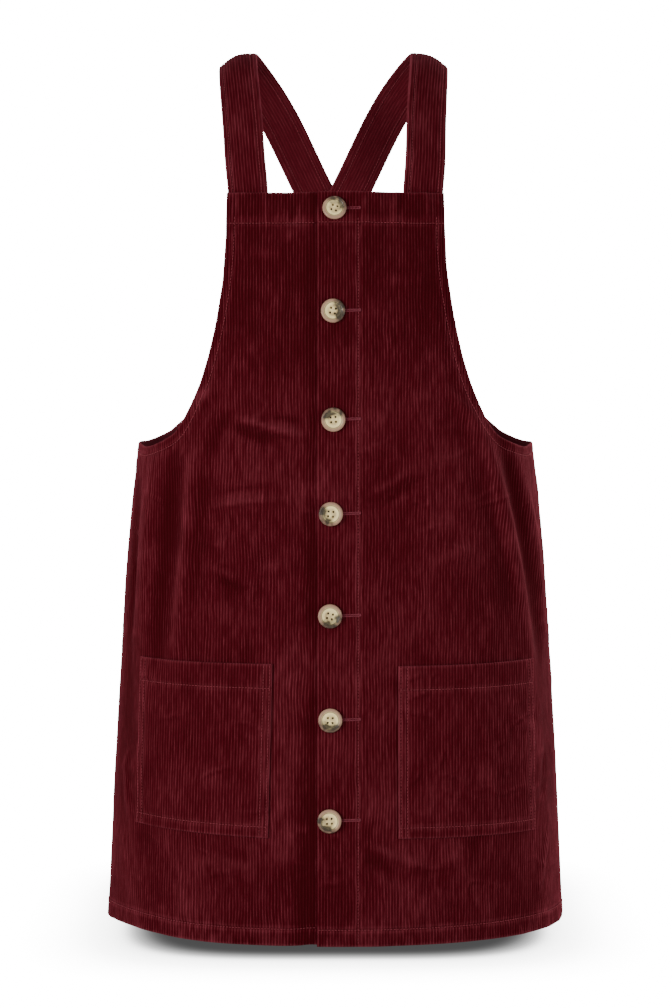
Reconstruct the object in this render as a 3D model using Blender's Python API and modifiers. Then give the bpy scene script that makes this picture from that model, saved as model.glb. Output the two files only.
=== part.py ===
"""Pinafore dress in corduroy, buttoned down the front, filled out as it is worn.

The dress is cut and sewn like the real one: two fronts that overlap on a buttoned placket,
one back, two patch pockets, two straps that cross behind, and seven four-hole buttons.
Every cloth piece is an open surface laid on one body form and given its thickness by Solidify.

Frame: metres, +Z up, +Y towards the wearer's back.  The origin lies midway between the tops
of the two straps, where the wearer's shoulders hold them.  "Left" and "right" are as seen
from in front of the dress, so left is -X.
"""

import math

import bmesh
import bpy
import numpy as np
from mathutils import Matrix, Vector

MM = 0.001

# ---------------------------------------------------------------- driving dimensions, in mm
CLOTH = 2.0                 # thickness of the corduroy
STRAP_THICKNESS = 3.0       # two folded layers
GAP = 0.3                   # free space between neighbouring pieces
STRAP_GAP = 0.5             # between a strap's sewn-in end and the cloth it lies behind
HEM_DROP = 814.0            # from the shoulders down to the hem
BIB_DROP = 126.0            # from the shoulders down to the bib's top edge
BIB_HALF_WIDTH = 101.3      # measured along the cloth
BACK_DROP = 255.0           # from the shoulders down to the back's top edge
BACK_HALF_WIDTH = 80.0
UNDERARM_DROP = 358.5       # from the shoulders down to the side seam's top
HEM_LIFT = 4.0              # the hem rides up a little towards the left side
HEM_LIFT_ACROSS = -215.0
HEM_LIFT_WIDTH = 58.0
PLACKET_EDGE = -17.0        # free edge of the top layer, measured from the centre front
PLACKET_INNER = 22.0        # where the placket is stitched down
BUTTON_STAND = 19.0         # free edge of the layer underneath
LAYER_EASE = 57.0           # where the top layer has come back to the common surface

# The body form: one ring a row.  "drop" is measured down from the shoulders, "square" is the
# exponent of the superellipse, so a larger one gives a flatter front and firmer sides.
FORM_COLUMNS = ("drop", "half_width", "front", "back", "square")
FORM = (
    (60.0, 150.0, 62.0, 82.0, 2.6),
    (126.0, 158.0, 100.0, 99.0, 2.6),
    (190.0, 166.0, 117.0, 106.0, 2.6),
    (270.0, 176.0, 127.0, 109.0, 2.6),
    (360.0, 186.5, 128.0, 111.0, 2.6),
    (415.0, 193.2, 130.0, 114.0, 2.55),
    (473.0, 198.6, 133.0, 118.0, 2.5),
    (577.0, 205.4, 138.0, 126.0, 2.4),
    (681.0, 211.7, 145.0, 136.0, 2.3),
    (814.0, 218.0, 152.0, 148.0, 2.25),
)

# The curved top edges: "across" is measured round the cloth from the centre line.
EDGE_COLUMNS = ("across", "drop")
FRONT_EDGE = (
    (BIB_HALF_WIDTH, BIB_DROP),
    (101.9, 165.0),
    (103.2, 188.0),
    (107.6, 222.0),
    (116.4, 264.0),
    (126.0, 296.0),
    (136.0, 319.0),
    (146.0, 336.5),
    (156.0, 346.5),
    (166.0, 352.0),
    (178.0, 356.5),
    (190.0, 359.5),
    (203.0, 361.0),
    (218.0, 359.5),
    (235.0, UNDERARM_DROP),
    (300.0, UNDERARM_DROP),
)
BACK_EDGE = (
    (BACK_HALF_WIDTH, BACK_DROP),
    (82.5, 268.0),
    (88.0, 284.0),
    (98.0, 301.0),
    (113.0, 316.0),
    (132.0, 328.0),
    (152.0, 338.0),
    (162.0, 345.0),
    (173.0, 351.8),
    (184.0, 355.5),
    (195.4, 358.0),
    (212.0, 359.5),
    (230.0, 359.0),
    (248.0, UNDERARM_DROP),
    (300.0, UNDERARM_DROP),
)

# The largest soft folds: each is a long ridge (or, with a negative height, a trough) that
# starts at (across, top), runs down to (across + lean, foot) and fades at both ends.
FOLD_COLUMNS = ("across", "lean", "top", "foot", "width", "height")
FRONT_FOLDS = (
    (-166.0, -20.0, 352.0, 566.0, 14.0, 3.2),
    (-140.0, -8.0, 360.0, 548.0, 16.0, -2.2),
    (168.0, 22.0, 350.0, 564.0, 14.0, 3.0),
    (143.0, 12.0, 352.0, 530.0, 16.0, -2.0),
    (-212.0, -14.0, 430.0, 800.0, 17.0, -2.2),
    (228.0, 10.0, 420.0, 790.0, 16.0, -2.0),
    (60.0, -14.0, 722.0, 860.0, 20.0, 1.6),
    (-44.0, 4.0, 730.0, 860.0, 18.0, -1.6),
)
BACK_FOLDS = (
    (-150.0, -18.0, 345.0, 620.0, 15.0, 3.0),
    (-118.0, -6.0, 400.0, 700.0, 20.0, -2.4),
    (146.0, 20.0, 345.0, 650.0, 14.0, 3.2),
    (110.0, 4.0, 420.0, 690.0, 18.0, -2.2),
    (-30.0, -10.0, 560.0, 850.0, 24.0, 2.6),
    (48.0, 12.0, 600.0, 850.0, 22.0, -2.2),
)

# A strap's free run, from the bib's top edge over the shoulder to the crossing.  "out" is
# the rough direction away from the body, "camber" how far the middle stands over the edges.
STRAP_WIDTH = 38.0
STRAP_FRONT_ACROSS = -82.0
STRAP_FRONT_END = 151.0
STRAP_BACK_ACROSS = 47.0
STRAP_BACK_LEAN = 12.0
STRAP_BACK_END = 281.0
STRAP_FRONT_CAMBER = 1.1    # the sewn-in ends bend with the cloth that they lie behind
STRAP_BACK_CAMBER = 0.7
STRAP_COLUMNS = ("x", "y", "z", "out_x", "out_y", "out_z", "camber")
STRAP_PATH = (
    (-83.5, -81.5, -95.0, -0.20, -0.95, 0.30, 0.4),
    (-86.0, -68.0, -63.0, -0.24, -0.85, 0.55, 1.2),
    (-89.0, -51.0, -33.0, -0.28, -0.62, 0.78, 2.4),
    (-91.5, -28.0, -9.0, -0.32, -0.30, 0.90, 4.0),
    (-92.0, 0.0, 1.5, -0.34, 0.05, 0.94, 5.0),
    (-87.5, 25.0, -2.0, -0.32, 0.35, 0.86, 4.4),
    (-77.5, 45.0, -14.5, -0.26, 0.66, 0.70, 3.0),
    (-65.0, 60.5, -32.0, -0.18, 0.84, 0.58, 1.8),
    (-52.0, 73.0, -54.0, -0.10, 0.93, 0.45, 1.0),
    (-40.0, 83.0, -78.0, -0.05, 1.00, 0.36, 0.4),
    (-27.5, 91.0, -104.0, 0.00, 1.00, 0.26, 0.0),
    (-13.0, 97.0, -133.0, 0.00, 1.00, 0.175, 0.0),
    (0.0, 101.0, -160.0, 0.00, 1.00, 0.125, 0.0),
    (13.5, 104.0, -187.0, 0.00, 1.00, 0.08, 0.0),
    (29.0, 105.5, -218.0, 0.02, 1.00, 0.03, 0.0),
)
STRAP_RIGHT_INWARD = 6.5    # the right strap runs this much nearer the middle behind
STRAP_RIGHT_TOP = 4.0       # and this much at the top of the shoulder
STRAP_TURN_DEPTH = 60.0     # it comes nearer over this depth behind the shoulder
CROSSING_Z = -160.0
CROSSING_GAP = 0.6          # the crossing straps are flat across, on a slightly curved back
CROSSING_REACH = 52.0       # the straps keep fully apart this far above and below
CROSSING_FADE = 30.0

# Patch pockets: one row each, "across" at the top and at the foot of both upright edges.
POCKET_COLUMNS = ("name", "inner_top", "inner_foot", "outer_top", "outer_foot", "top",
                  "foot_inner", "foot_outer")
POCKETS = (
    ("pocket_left", -57.3, -61.5, -195.4, -201.6, 556.0, 715.0, 711.5),
    ("pocket_right", 57.1, 57.2, 198.3, 201.4, 558.0, 715.5, 718.0),
)

# Buttons: one row each, top to bottom.
BUTTON_DIAMETER = 22.0
BUTTON_HEIGHT = 3.6
BUTTON_WELL = 14.0
BUTTON_WELL_DEPTH = 1.0
BUTTON_WELL_WALL = 1.2      # how far the well's wall leans
BUTTON_CREST = 1.2          # from the well to the highest part of the rim
BUTTON_SHOULDER = 1.2       # rounding of the rim outside the crest
BUTTON_UNDERCUT = 1.6       # rounding underneath
BUTTON_HOLE = 2.0
BUTTON_HOLE_SPACING = 4.4
BUTTON_SIDES = 20
BUTTON_COLUMNS = ("drop", "across", "turn")
BUTTONS = (
    (142.2, -1.0, 4.0),
    (234.8, -2.3, -3.0),
    (332.9, -2.0, 2.0),
    (419.0, -4.3, -6.0),
    (512.0, -5.0, 5.0),
    (607.0, -4.8, -2.0),
    (698.7, -5.6, 3.0),
)

# How finely the cloth surfaces are divided.
FRONT_COLUMNS = (57.0, 72.0, 87.0, 101.3, 103.2, 107.6, 116.4, 127.0, 140.0, 152.0, 164.0,
                 177.0, 190.0, 203.0)
PLACKET_COLUMNS = (-3.0, 10.0)
OVERLAP_COLUMNS = (34.0, 46.0)
LEFT_COLUMNS = (-42.0, -28.0)
BACK_COLUMNS = (0.0, 20.0, 40.0, 60.0, 80.0, 84.0, 93.0, 108.0, 126.0, 145.0, 162.0, 180.0,
                198.0)
SIDE_STEPS = 4
FRONT_ROWS = 26
BACK_ROWS = 20
POCKET_SHARES = (0.0, 0.104, 0.208, 0.308, 0.412, 0.486, 0.576, 0.66, 0.743, 0.833, 0.924, 1.0)
POCKET_DOWN = 7
STRAP_STEP = 13.0
STRAP_ACROSS = 4
RING_SAMPLES = 361
EDGE_PASSES = 3             # times the leaning edge columns are found again
NORMAL_STEP = 0.5           # mm, for the cloth's slope
HOLE_SIDES = 8
SMOOTH_ANGLE = 40.0         # degrees; sharper edges of a button stay crisp


# ---------------------------------------------------------------- tables and curves
def column(table, names, name):
    """One named column of a table as an array."""
    index = names.index(name)
    return np.array([row[index] for row in table], dtype=float)


def smooth(at, xs, ys):
    """Monotone cubic through (xs, ys), read at `at`; straight beyond the ends."""
    step = np.diff(xs)
    rise = np.diff(ys) / step
    slope = np.empty_like(ys)
    slope[0], slope[-1] = rise[0], rise[-1]
    same = rise[1:] * rise[:-1] > 0
    before, after = rise[:-1], rise[1:]
    weight_a, weight_b = 2 * step[1:] + step[:-1], step[1:] + 2 * step[:-1]
    safe_a = np.where(same, before, 1.0)
    safe_b = np.where(same, after, 1.0)
    mean = (weight_a + weight_b) / (weight_a / safe_a + weight_b / safe_b)
    slope[1:-1] = np.where(same, mean, 0.0)
    at = np.asarray(at, dtype=float)
    cell = np.clip(np.searchsorted(xs, at) - 1, 0, len(step) - 1)
    t = np.clip((at - xs[cell]) / step[cell], 0.0, 1.0)
    value = ((1 + 2 * t) * (1 - t) ** 2 * ys[cell] + t * (1 - t) ** 2 * step[cell] * slope[cell]
             + t * t * (3 - 2 * t) * ys[cell + 1] - t * t * (1 - t) * step[cell] * slope[cell + 1])
    below, above = np.minimum(at - xs[0], 0.0), np.maximum(at - xs[-1], 0.0)
    return value + below * slope[0] + above * slope[-1]


def ease(x):
    """Smooth step from 0 to 1."""
    t = np.clip(x, 0.0, 1.0)
    return t * t * (3 - 2 * t)


# ---------------------------------------------------------------- the body form
FORM_DROP = column(FORM, FORM_COLUMNS, "drop")
FORM_SHAPE = {name: column(FORM, FORM_COLUMNS, name) for name in FORM_COLUMNS[1:]}


def ring_point(turn, drop):
    """Point of the form at a turn from the centre front (radians) and a drop (mm)."""
    half = smooth(drop, FORM_DROP, FORM_SHAPE["half_width"])
    front = smooth(drop, FORM_DROP, FORM_SHAPE["front"])
    back = smooth(drop, FORM_DROP, FORM_SHAPE["back"])
    power = smooth(drop, FORM_DROP, FORM_SHAPE["square"])
    depth = np.where(np.cos(turn) > 0, front, back)
    reach = (np.abs(np.sin(turn) / half) ** power
             + np.abs(np.cos(turn) / depth) ** power) ** (-1.0 / power)
    return np.stack([reach * np.sin(turn), -reach * np.cos(turn), -drop + 0 * reach], axis=-1)


def half_ring(drop):
    """Turns from centre front to centre back and the distances walked round the cloth."""
    turns = np.linspace(0.0, math.pi, RING_SAMPLES)
    points = ring_point(turns, np.full(RING_SAMPLES, float(drop)))
    steps = np.linalg.norm(np.diff(points, axis=0), axis=1)
    return turns, np.concatenate([[0.0], np.cumsum(steps)])


def side_distance(drop, from_back=False):
    """Distance round the cloth from the centre line to the side seam."""
    turns, walked = half_ring(drop)
    side = float(np.interp(math.pi / 2, turns, walked))
    return walked[-1] - side if from_back else side


def fold_height(across, drop, folds):
    """Sum of the soft ridges and troughs at one place on a panel."""
    total = 0.0
    for start, lean, top, foot, width, height in folds:
        along = (drop - top) / (foot - top)
        fade = ease(along * 4.0) * ease((1.0 - along) * 2.0)
        away = (across - start - lean * np.clip(along, 0.0, 1.0)) / width
        total += height * fade * math.exp(-away * away)
    return total


def bare_point(across, drop, from_back):
    """Point on the form at a distance round the cloth from the centre front or back."""
    turns, walked = half_ring(drop)
    distance = abs(across)
    if from_back:
        distance = walked[-1] - distance
    turn = float(np.interp(distance, walked, turns))
    return ring_point(np.array(math.copysign(turn, across)), np.array(float(drop)))


def cloth_point(across, drop, out=0.0, from_back=False):
    """Point of the cloth's middle surface, moved out by `out` mm, with its folds."""
    here = bare_point(across, drop, from_back)
    step = NORMAL_STEP
    side = bare_point(across + step, drop, from_back) - bare_point(across - step, drop, from_back)
    down = bare_point(across, drop + step, from_back) - bare_point(across, drop - step, from_back)
    normal = np.cross(side, down)
    normal /= np.linalg.norm(normal)
    if normal @ (here * np.array([1.0, 1.0, 0.0])) < 0:
        normal = -normal
    folds = BACK_FOLDS if from_back else FRONT_FOLDS
    return here + normal * (out + fold_height(across, drop, folds)), normal


def hem_drop(across):
    """How far the hem lies below the shoulders at one place round the front."""
    away = (across - HEM_LIFT_ACROSS) / HEM_LIFT_WIDTH
    return HEM_DROP - HEM_LIFT * math.exp(-away * away)


def top_layer(across):
    """How far the right front stands off the common surface, over the button stand."""
    lift = CLOTH + GAP
    return lift * (1.0 - ease((across - PLACKET_INNER) / (LAYER_EASE - PLACKET_INNER)))


# ---------------------------------------------------------------- Blender helpers
def make_collection(name):
    """A new collection linked to the scene."""
    collection = bpy.data.collections.new(name)
    bpy.context.scene.collection.children.link(collection)
    return collection


def make_material(name, colour, roughness, metallic=0.0):
    """A Principled material."""
    material = bpy.data.materials.new(name)
    material.use_nodes = True
    shader = material.node_tree.nodes["Principled BSDF"]
    shader.inputs["Base Color"].default_value = (*colour, 1.0)
    shader.inputs["Roughness"].default_value = roughness
    shader.inputs["Metallic"].default_value = metallic
    material.diffuse_color = (*colour, 1.0)
    return material


def grid_object(name, points, collection, material, thickness):
    """A grid of points (rows, columns, 3) in mm as an open surface with Solidify."""
    rows, columns = points.shape[:2]
    mesh = bpy.data.meshes.new(name)
    build = bmesh.new()
    corners = [build.verts.new(Vector(point) * MM) for point in points.reshape(-1, 3)]
    for row in range(rows - 1):
        for place in range(columns - 1):
            first = row * columns + place
            build.faces.new([corners[first], corners[first + 1],
                             corners[first + columns + 1], corners[first + columns]])
    build.to_mesh(mesh)
    build.free()
    mesh.shade_smooth()
    cloth = bpy.data.objects.new(name, mesh)
    cloth.data.materials.append(material)
    collection.objects.link(cloth)
    solidify = cloth.modifiers.new("cloth", "SOLIDIFY")
    solidify.thickness = thickness * MM
    solidify.offset = 0.0
    return cloth


# ---------------------------------------------------------------- cloth pieces
def panel_points(columns, rows, edge, from_back, layer, hem):
    """Grid of one panel, from its hem up to its top edge, armhole or side seam's top."""
    across_table = column(edge, EDGE_COLUMNS, "across")
    drop_table = column(edge, EDGE_COLUMNS, "drop")
    top_drop = float(drop_table[0])
    points = np.empty((rows + 1, len(columns), 3))
    for place, (base, share) in enumerate(columns):
        side = 1.0 if base >= 0 else -1.0
        for row in range(rows + 1):
            drop = HEM_DROP
            for _ in range(EDGE_PASSES):
                # The outermost columns lean with the side seam, so the edge is found again.
                seam = side_distance(drop, from_back) - GAP / 2
                across = abs(base) + share * (seam - abs(base))
                edge_drop = top_drop
                if across > across_table[0]:
                    edge_drop = float(smooth(across, across_table, drop_table))
                foot = hem(side * across)
                drop = foot + (edge_drop - foot) * row / rows
            across *= side
            points[row, place], _ = cloth_point(across, drop, layer(across), from_back)
    return points


def side_columns(last, side):
    """Columns between the last upright one and the side seam, as shares of the way."""
    return [(side * last, step / SIDE_STEPS) for step in range(1, SIDE_STEPS + 1)]


def make_fronts(collection, material):
    """Both fronts: the right one is the top layer of the placket."""
    upright = [(across, 0.0) for across in FRONT_COLUMNS]
    outer = upright + side_columns(FRONT_COLUMNS[-1], 1.0)
    right = [(across, 0.0) for across in (PLACKET_EDGE, *PLACKET_COLUMNS, PLACKET_INNER,
                                          *OVERLAP_COLUMNS)] + outer
    left = [(-base, share) for base, share in reversed(outer)]
    left += [(across, 0.0) for across in (*LEFT_COLUMNS, PLACKET_EDGE, *PLACKET_COLUMNS,
                                          BUTTON_STAND)]
    under = panel_points(left, FRONT_ROWS, FRONT_EDGE, False, lambda _: 0.0, hem_drop)
    grid_object("front_left", under, collection, material, CLOTH)
    over = panel_points(right, FRONT_ROWS, FRONT_EDGE, False, top_layer, hem_drop)
    grid_object("front_right", over, collection, material, CLOTH)


def make_back(collection, material):
    """The back, cut in one piece."""
    half = [(across, 0.0) for across in BACK_COLUMNS] + side_columns(BACK_COLUMNS[-1], 1.0)
    columns = [(-base, share) for base, share in reversed(half[1:])] + half
    points = panel_points(columns, BACK_ROWS, BACK_EDGE, True, lambda _: 0.0,
                          lambda _: HEM_DROP)
    grid_object("back", points, collection, material, CLOTH)


def make_pockets(collection, material):
    """Patch pockets, laid on the fronts' own surface."""
    lift = CLOTH + GAP
    for name, inner_top, inner_foot, outer_top, outer_foot, top, foot_in, foot_out in POCKETS:
        points = np.empty((POCKET_DOWN + 1, len(POCKET_SHARES), 3))
        for row in range(POCKET_DOWN + 1):
            for place, over in enumerate(POCKET_SHARES):
                down = row / POCKET_DOWN
                inner = inner_top + (inner_foot - inner_top) * down
                outer = outer_top + (outer_foot - outer_top) * down
                across = inner + (outer - inner) * over
                foot = foot_in + (foot_out - foot_in) * over
                layer = top_layer(across) if across > 0 else 0.0
                points[row, place], _ = cloth_point(across, top + (foot - top) * down,
                                                    layer + lift)
        grid_object(name, points, collection, material, CLOTH)


def strap_stations(side):
    """Centre, out direction, camber and crossing lift of one strap, end to end, in mm."""
    inward = -(CLOTH / 2 + STRAP_GAP + STRAP_THICKNESS / 2)
    rows = []
    for drop in (STRAP_FRONT_END, BIB_DROP):
        point, normal = cloth_point(STRAP_FRONT_ACROSS, drop, inward - STRAP_FRONT_CAMBER)
        rows.append([*point, *normal, STRAP_FRONT_CAMBER])
    rows += [list(row) for row in STRAP_PATH]
    for drop in (BACK_DROP, STRAP_BACK_END):
        share = (drop - BACK_DROP) / (STRAP_BACK_END - BACK_DROP)
        point, normal = cloth_point(STRAP_BACK_ACROSS + STRAP_BACK_LEAN * share, drop,
                                    inward - STRAP_BACK_CAMBER, from_back=True)
        rows.append([*point, *normal, STRAP_BACK_CAMBER])
    table = np.array(rows)
    walked = np.concatenate([[0.0], np.cumsum(
        np.linalg.norm(np.diff(table[:, :3], axis=0), axis=1))])
    count = int(round(walked[-1] / STRAP_STEP))
    at = np.linspace(0.0, walked[-1], count + 1)
    stations = spline(at, walked, table)
    away = np.abs(stations[:, 2] - CROSSING_Z)
    behind = stations[:, 1] > 0
    apart = 1.0 - ease((away - CROSSING_REACH) / CROSSING_FADE)
    apart = (STRAP_THICKNESS + CROSSING_GAP) / 2 * apart
    stations[:, 1] += np.where(behind, -side * apart, 0.0)
    if side > 0:
        # Mirrored below: +x here is towards the middle.
        rising = ease((stations[:, 2] + BIB_DROP) / BIB_DROP)
        falling = ease((stations[:, 2] + BACK_DROP) / (BACK_DROP + CROSSING_Z))
        back_share = ease(stations[:, 1] / STRAP_TURN_DEPTH)
        nearer = np.where(behind, STRAP_RIGHT_TOP * (1.0 - back_share)
                          + STRAP_RIGHT_INWARD * back_share * falling, STRAP_RIGHT_TOP * rising)
        stations[:, 0] += nearer
    stations[:, 0] *= -side
    stations[:, 3] *= -side
    return stations


def spline(at, walked, table):
    """Cubic curve through the rows of a table, with slopes from the neighbouring rows."""
    slope = np.gradient(table, walked, axis=0)
    cell = np.clip(np.searchsorted(walked, at, side="right") - 1, 0, len(walked) - 2)
    length = (walked[cell + 1] - walked[cell])[:, None]
    t = ((at - walked[cell]) / length[:, 0])[:, None]
    return ((1 + 2 * t) * (1 - t) ** 2 * table[cell] + t * (1 - t) ** 2 * length * slope[cell]
            + t * t * (3 - 2 * t) * table[cell + 1] - t * t * (1 - t) * length * slope[cell + 1])


def make_straps(collection, material):
    """Two straps; the left one lies outside where they cross behind."""
    for name, side in (("strap_left", -1.0), ("strap_right", 1.0)):
        stations = strap_stations(side)
        centre, out, camber = stations[:, :3], stations[:, 3:6], stations[:, 6]
        along = np.gradient(centre, axis=0)
        along /= np.linalg.norm(along, axis=1)[:, None]
        out = out - along * np.sum(out * along, axis=1)[:, None]
        out /= np.linalg.norm(out, axis=1)[:, None]
        wide = np.cross(out, along)
        share = np.linspace(-1.0, 1.0, STRAP_ACROSS + 1)
        bow = camber[:, None] * (1.0 - share ** 2)[None, :]
        points = (centre[:, None, :] + wide[:, None, :] * share[None, :, None] * STRAP_WIDTH / 2
                  + out[:, None, :] * bow[:, :, None])
        grid_object(name, points, collection, material, STRAP_THICKNESS)


# ---------------------------------------------------------------- buttons
def button_mesh(material, cutters):
    """A turned, dished button with four holes, face up along +Z, its back on Z = 0."""
    radius, well = BUTTON_DIAMETER / 2, BUTTON_WELL / 2
    top = BUTTON_HEIGHT
    floor = top - BUTTON_WELL_DEPTH
    profile = ((0.0, floor), (well - BUTTON_WELL_WALL, floor), (well, top * 0.95),
               (well + BUTTON_CREST, top), (radius - BUTTON_SHOULDER, top * 0.83),
               (radius, top * 0.5), (radius - BUTTON_UNDERCUT, 0.0), (0.0, 0.0))
    mesh = bpy.data.meshes.new("button_profile")
    mesh.from_pydata([(x * MM, 0.0, z * MM) for x, z in profile],
                     [(i, i + 1) for i in range(len(profile) - 1)], [])
    turned = bpy.data.objects.new("button_blank", mesh)
    cutters.objects.link(turned)
    screw = turned.modifiers.new("turn", "SCREW")
    screw.steps = screw.render_steps = BUTTON_SIDES
    screw.use_merge_vertices = True
    screw.merge_threshold = 0.00001
    screw.use_normal_calculate = True
    for corner in range(4):
        angle = math.pi / 4 + corner * math.pi / 2
        reach = BUTTON_HOLE_SPACING / math.sqrt(2) * MM
        bpy.ops.mesh.primitive_cylinder_add(vertices=HOLE_SIDES, radius=BUTTON_HOLE / 2 * MM,
                                            depth=BUTTON_HEIGHT * 4 * MM,
                                            location=(reach * math.cos(angle),
                                                      reach * math.sin(angle), 0.0))
        cutter = bpy.context.object
        cutter.name = f"button_hole_{corner + 1}"
        for home in list(cutter.users_collection):
            home.objects.unlink(cutter)
        cutters.objects.link(cutter)
        cutter.hide_render = True
        cutter.display_type = "WIRE"
        hole = turned.modifiers.new(f"hole_{corner + 1}", "BOOLEAN")
        hole.operation = "DIFFERENCE"
        hole.solver = "EXACT"
        hole.object = cutter
    bpy.context.view_layer.update()
    depsgraph = bpy.context.evaluated_depsgraph_get()
    result = bpy.data.meshes.new_from_object(turned.evaluated_get(depsgraph))
    result.name = "button"
    result.materials.clear()
    result.materials.append(material)
    result.shade_smooth()
    result.set_sharp_from_angle(angle=math.radians(SMOOTH_ANGLE))
    bpy.data.objects.remove(turned)
    return result


def make_buttons(collection, cutters, material):
    """Seven buttons down the placket, each flat on the top layer of cloth."""
    mesh = button_mesh(material, cutters)
    seat = CLOTH / 2 + CLOTH + GAP + GAP
    for number, (drop, across, turn) in enumerate(BUTTONS, start=1):
        point, normal = cloth_point(across, drop, seat)
        up = Vector((0.0, 0.0, 1.0))
        face = Vector(normal)
        across_axis = up.cross(face).normalized()
        up = face.cross(across_axis)
        place = Matrix((across_axis, up, face)).transposed().to_4x4()
        button = bpy.data.objects.new(f"button_{number}", mesh)
        button.matrix_world = (Matrix.Translation(Vector(point) * MM) @ place
                               @ Matrix.Rotation(math.radians(turn), 4, "Z"))
        collection.objects.link(button)


def main():
    """Build the dress."""
    for old in list(bpy.data.objects):
        bpy.data.objects.remove(old)
    dress = make_collection("pinafore_dress")
    cutters = make_collection("cutters")
    corduroy = make_material("corduroy", (0.068, 0.006, 0.010), 0.9)
    horn = make_material("horn", (0.62, 0.52, 0.38), 0.35)
    make_fronts(dress, corduroy)
    make_back(dress, corduroy)
    make_pockets(dress, corduroy)
    make_straps(dress, corduroy)
    make_buttons(dress, cutters, horn)


main()
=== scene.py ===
"""Looks of a corduroy pinafore dress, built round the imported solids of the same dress.

Every cloth piece is a thin closed shell laid on one body form.  A place on the cloth is given
by two lengths in millimetres: `across`, walked round the cloth from the centre front or back,
and `drop`, measured down from the shoulders.  The wales run along lines of constant `across`.
"""

import logging
import math
from dataclasses import dataclass, field
from enum import Enum
from typing import Callable, Sequence

import bpy
import numpy as np
from mathutils import Matrix, Vector


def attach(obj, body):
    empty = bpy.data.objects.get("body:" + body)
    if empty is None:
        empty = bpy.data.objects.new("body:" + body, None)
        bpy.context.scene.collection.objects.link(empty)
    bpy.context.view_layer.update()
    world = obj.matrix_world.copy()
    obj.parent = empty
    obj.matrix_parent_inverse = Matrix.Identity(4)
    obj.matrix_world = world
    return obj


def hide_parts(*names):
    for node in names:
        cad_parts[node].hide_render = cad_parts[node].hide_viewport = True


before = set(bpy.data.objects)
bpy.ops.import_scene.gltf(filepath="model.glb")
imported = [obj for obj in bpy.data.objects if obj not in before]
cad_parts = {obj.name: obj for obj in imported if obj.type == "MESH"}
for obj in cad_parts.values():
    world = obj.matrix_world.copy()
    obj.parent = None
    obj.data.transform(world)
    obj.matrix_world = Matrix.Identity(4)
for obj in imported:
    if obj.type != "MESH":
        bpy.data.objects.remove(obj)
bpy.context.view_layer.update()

Array = np.ndarray
MM = 0.001
ROOT = "root"
LOG = logging.getLogger("pinafore")


class Slot(Enum):
    """Material slots of the dress's pieces."""

    FRONT = "front_cloth"
    BACK = "back_cloth"
    STRAP = "strap_cloth"
    POCKET = "pocket_cloth"
    BUTTON = "button_horn"


# ------------------------------------------------------------------ curves and noise
def ease(x: Array) -> Array:
    """Smooth step: 3t^2 - 2t^3 with t held between 0 and 1."""
    t = np.clip(x, 0.0, 1.0)
    return t * t * (3 - 2 * t)


def bell(x: Array) -> Array:
    """Soft bump exp(-x^2), 1 at x = 0."""
    return np.exp(-np.square(x))


def smooth(at: Array, xs: Array, ys: Array) -> Array:
    """Monotone cubic through rows of a table, straight beyond its ends.

    Slopes are the weighted harmonic means of the neighbouring rises, or 0 at a turning point.

    Args:
        at: Where to read the curve.
        xs: Increasing abscissas of the rows.
        ys: Values of the rows.

    Returns:
        The curve's values, shaped like `at`.
    """
    step = np.diff(xs)
    rise = np.diff(ys) / step
    slope = np.empty_like(ys)
    slope[0], slope[-1] = rise[0], rise[-1]
    same = rise[1:] * rise[:-1] > 0
    before, after = np.where(same, rise[:-1], 1.0), np.where(same, rise[1:], 1.0)
    weight_a, weight_b = 2 * step[1:] + step[:-1], step[1:] + 2 * step[:-1]
    mean = (weight_a + weight_b) / (weight_a / before + weight_b / after)
    slope[1:-1] = np.where(same, mean, 0.0)
    at = np.asarray(at, dtype=float)
    cell = np.clip(np.searchsorted(xs, at) - 1, 0, len(step) - 1)
    t = np.clip((at - xs[cell]) / step[cell], 0.0, 1.0)
    value = ((1 + 2 * t) * (1 - t) ** 2 * ys[cell] + t * (1 - t) ** 2 * step[cell] * slope[cell]
             + t * t * (3 - 2 * t) * ys[cell + 1] - t * t * (1 - t) * step[cell] * slope[cell + 1])
    below, above = np.minimum(at - xs[0], 0.0), np.maximum(at - xs[-1], 0.0)
    return value + below * slope[0] + above * slope[-1]


def lattice_noise(x: Array, y: Array, seed: float = 0.0) -> Array:
    """Smooth noise between -1 and 1: hashed corner values, eased between whole numbers."""
    left, low = np.floor(x), np.floor(y)
    right_share, up_share = ease(x - left), ease(y - low)

    def corner(i: Array, j: Array) -> Array:
        """Hash of one lattice corner, from -1 to 1."""
        wave = np.sin(i * 127.1 + j * 311.7 + seed * 74.7) * 43758.5453
        return (wave - np.floor(wave)) * 2 - 1

    low_side = corner(left, low) * (1 - right_share) + corner(left + 1, low) * right_share
    up_side = corner(left, low + 1) * (1 - right_share) + corner(left + 1, low + 1) * right_share
    return low_side * (1 - up_share) + up_side * up_share


def unit(vectors: Array) -> Array:
    """Vectors along the last axis scaled to length 1."""
    return vectors / np.maximum(np.linalg.norm(vectors, axis=-1, keepdims=True), 1e-12)


def walked_lengths(points: Array) -> Array:
    """Length walked along a polyline up to each of its points."""
    return np.concatenate([[0.0], np.cumsum(np.linalg.norm(np.diff(points, axis=0), axis=1))])


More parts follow.
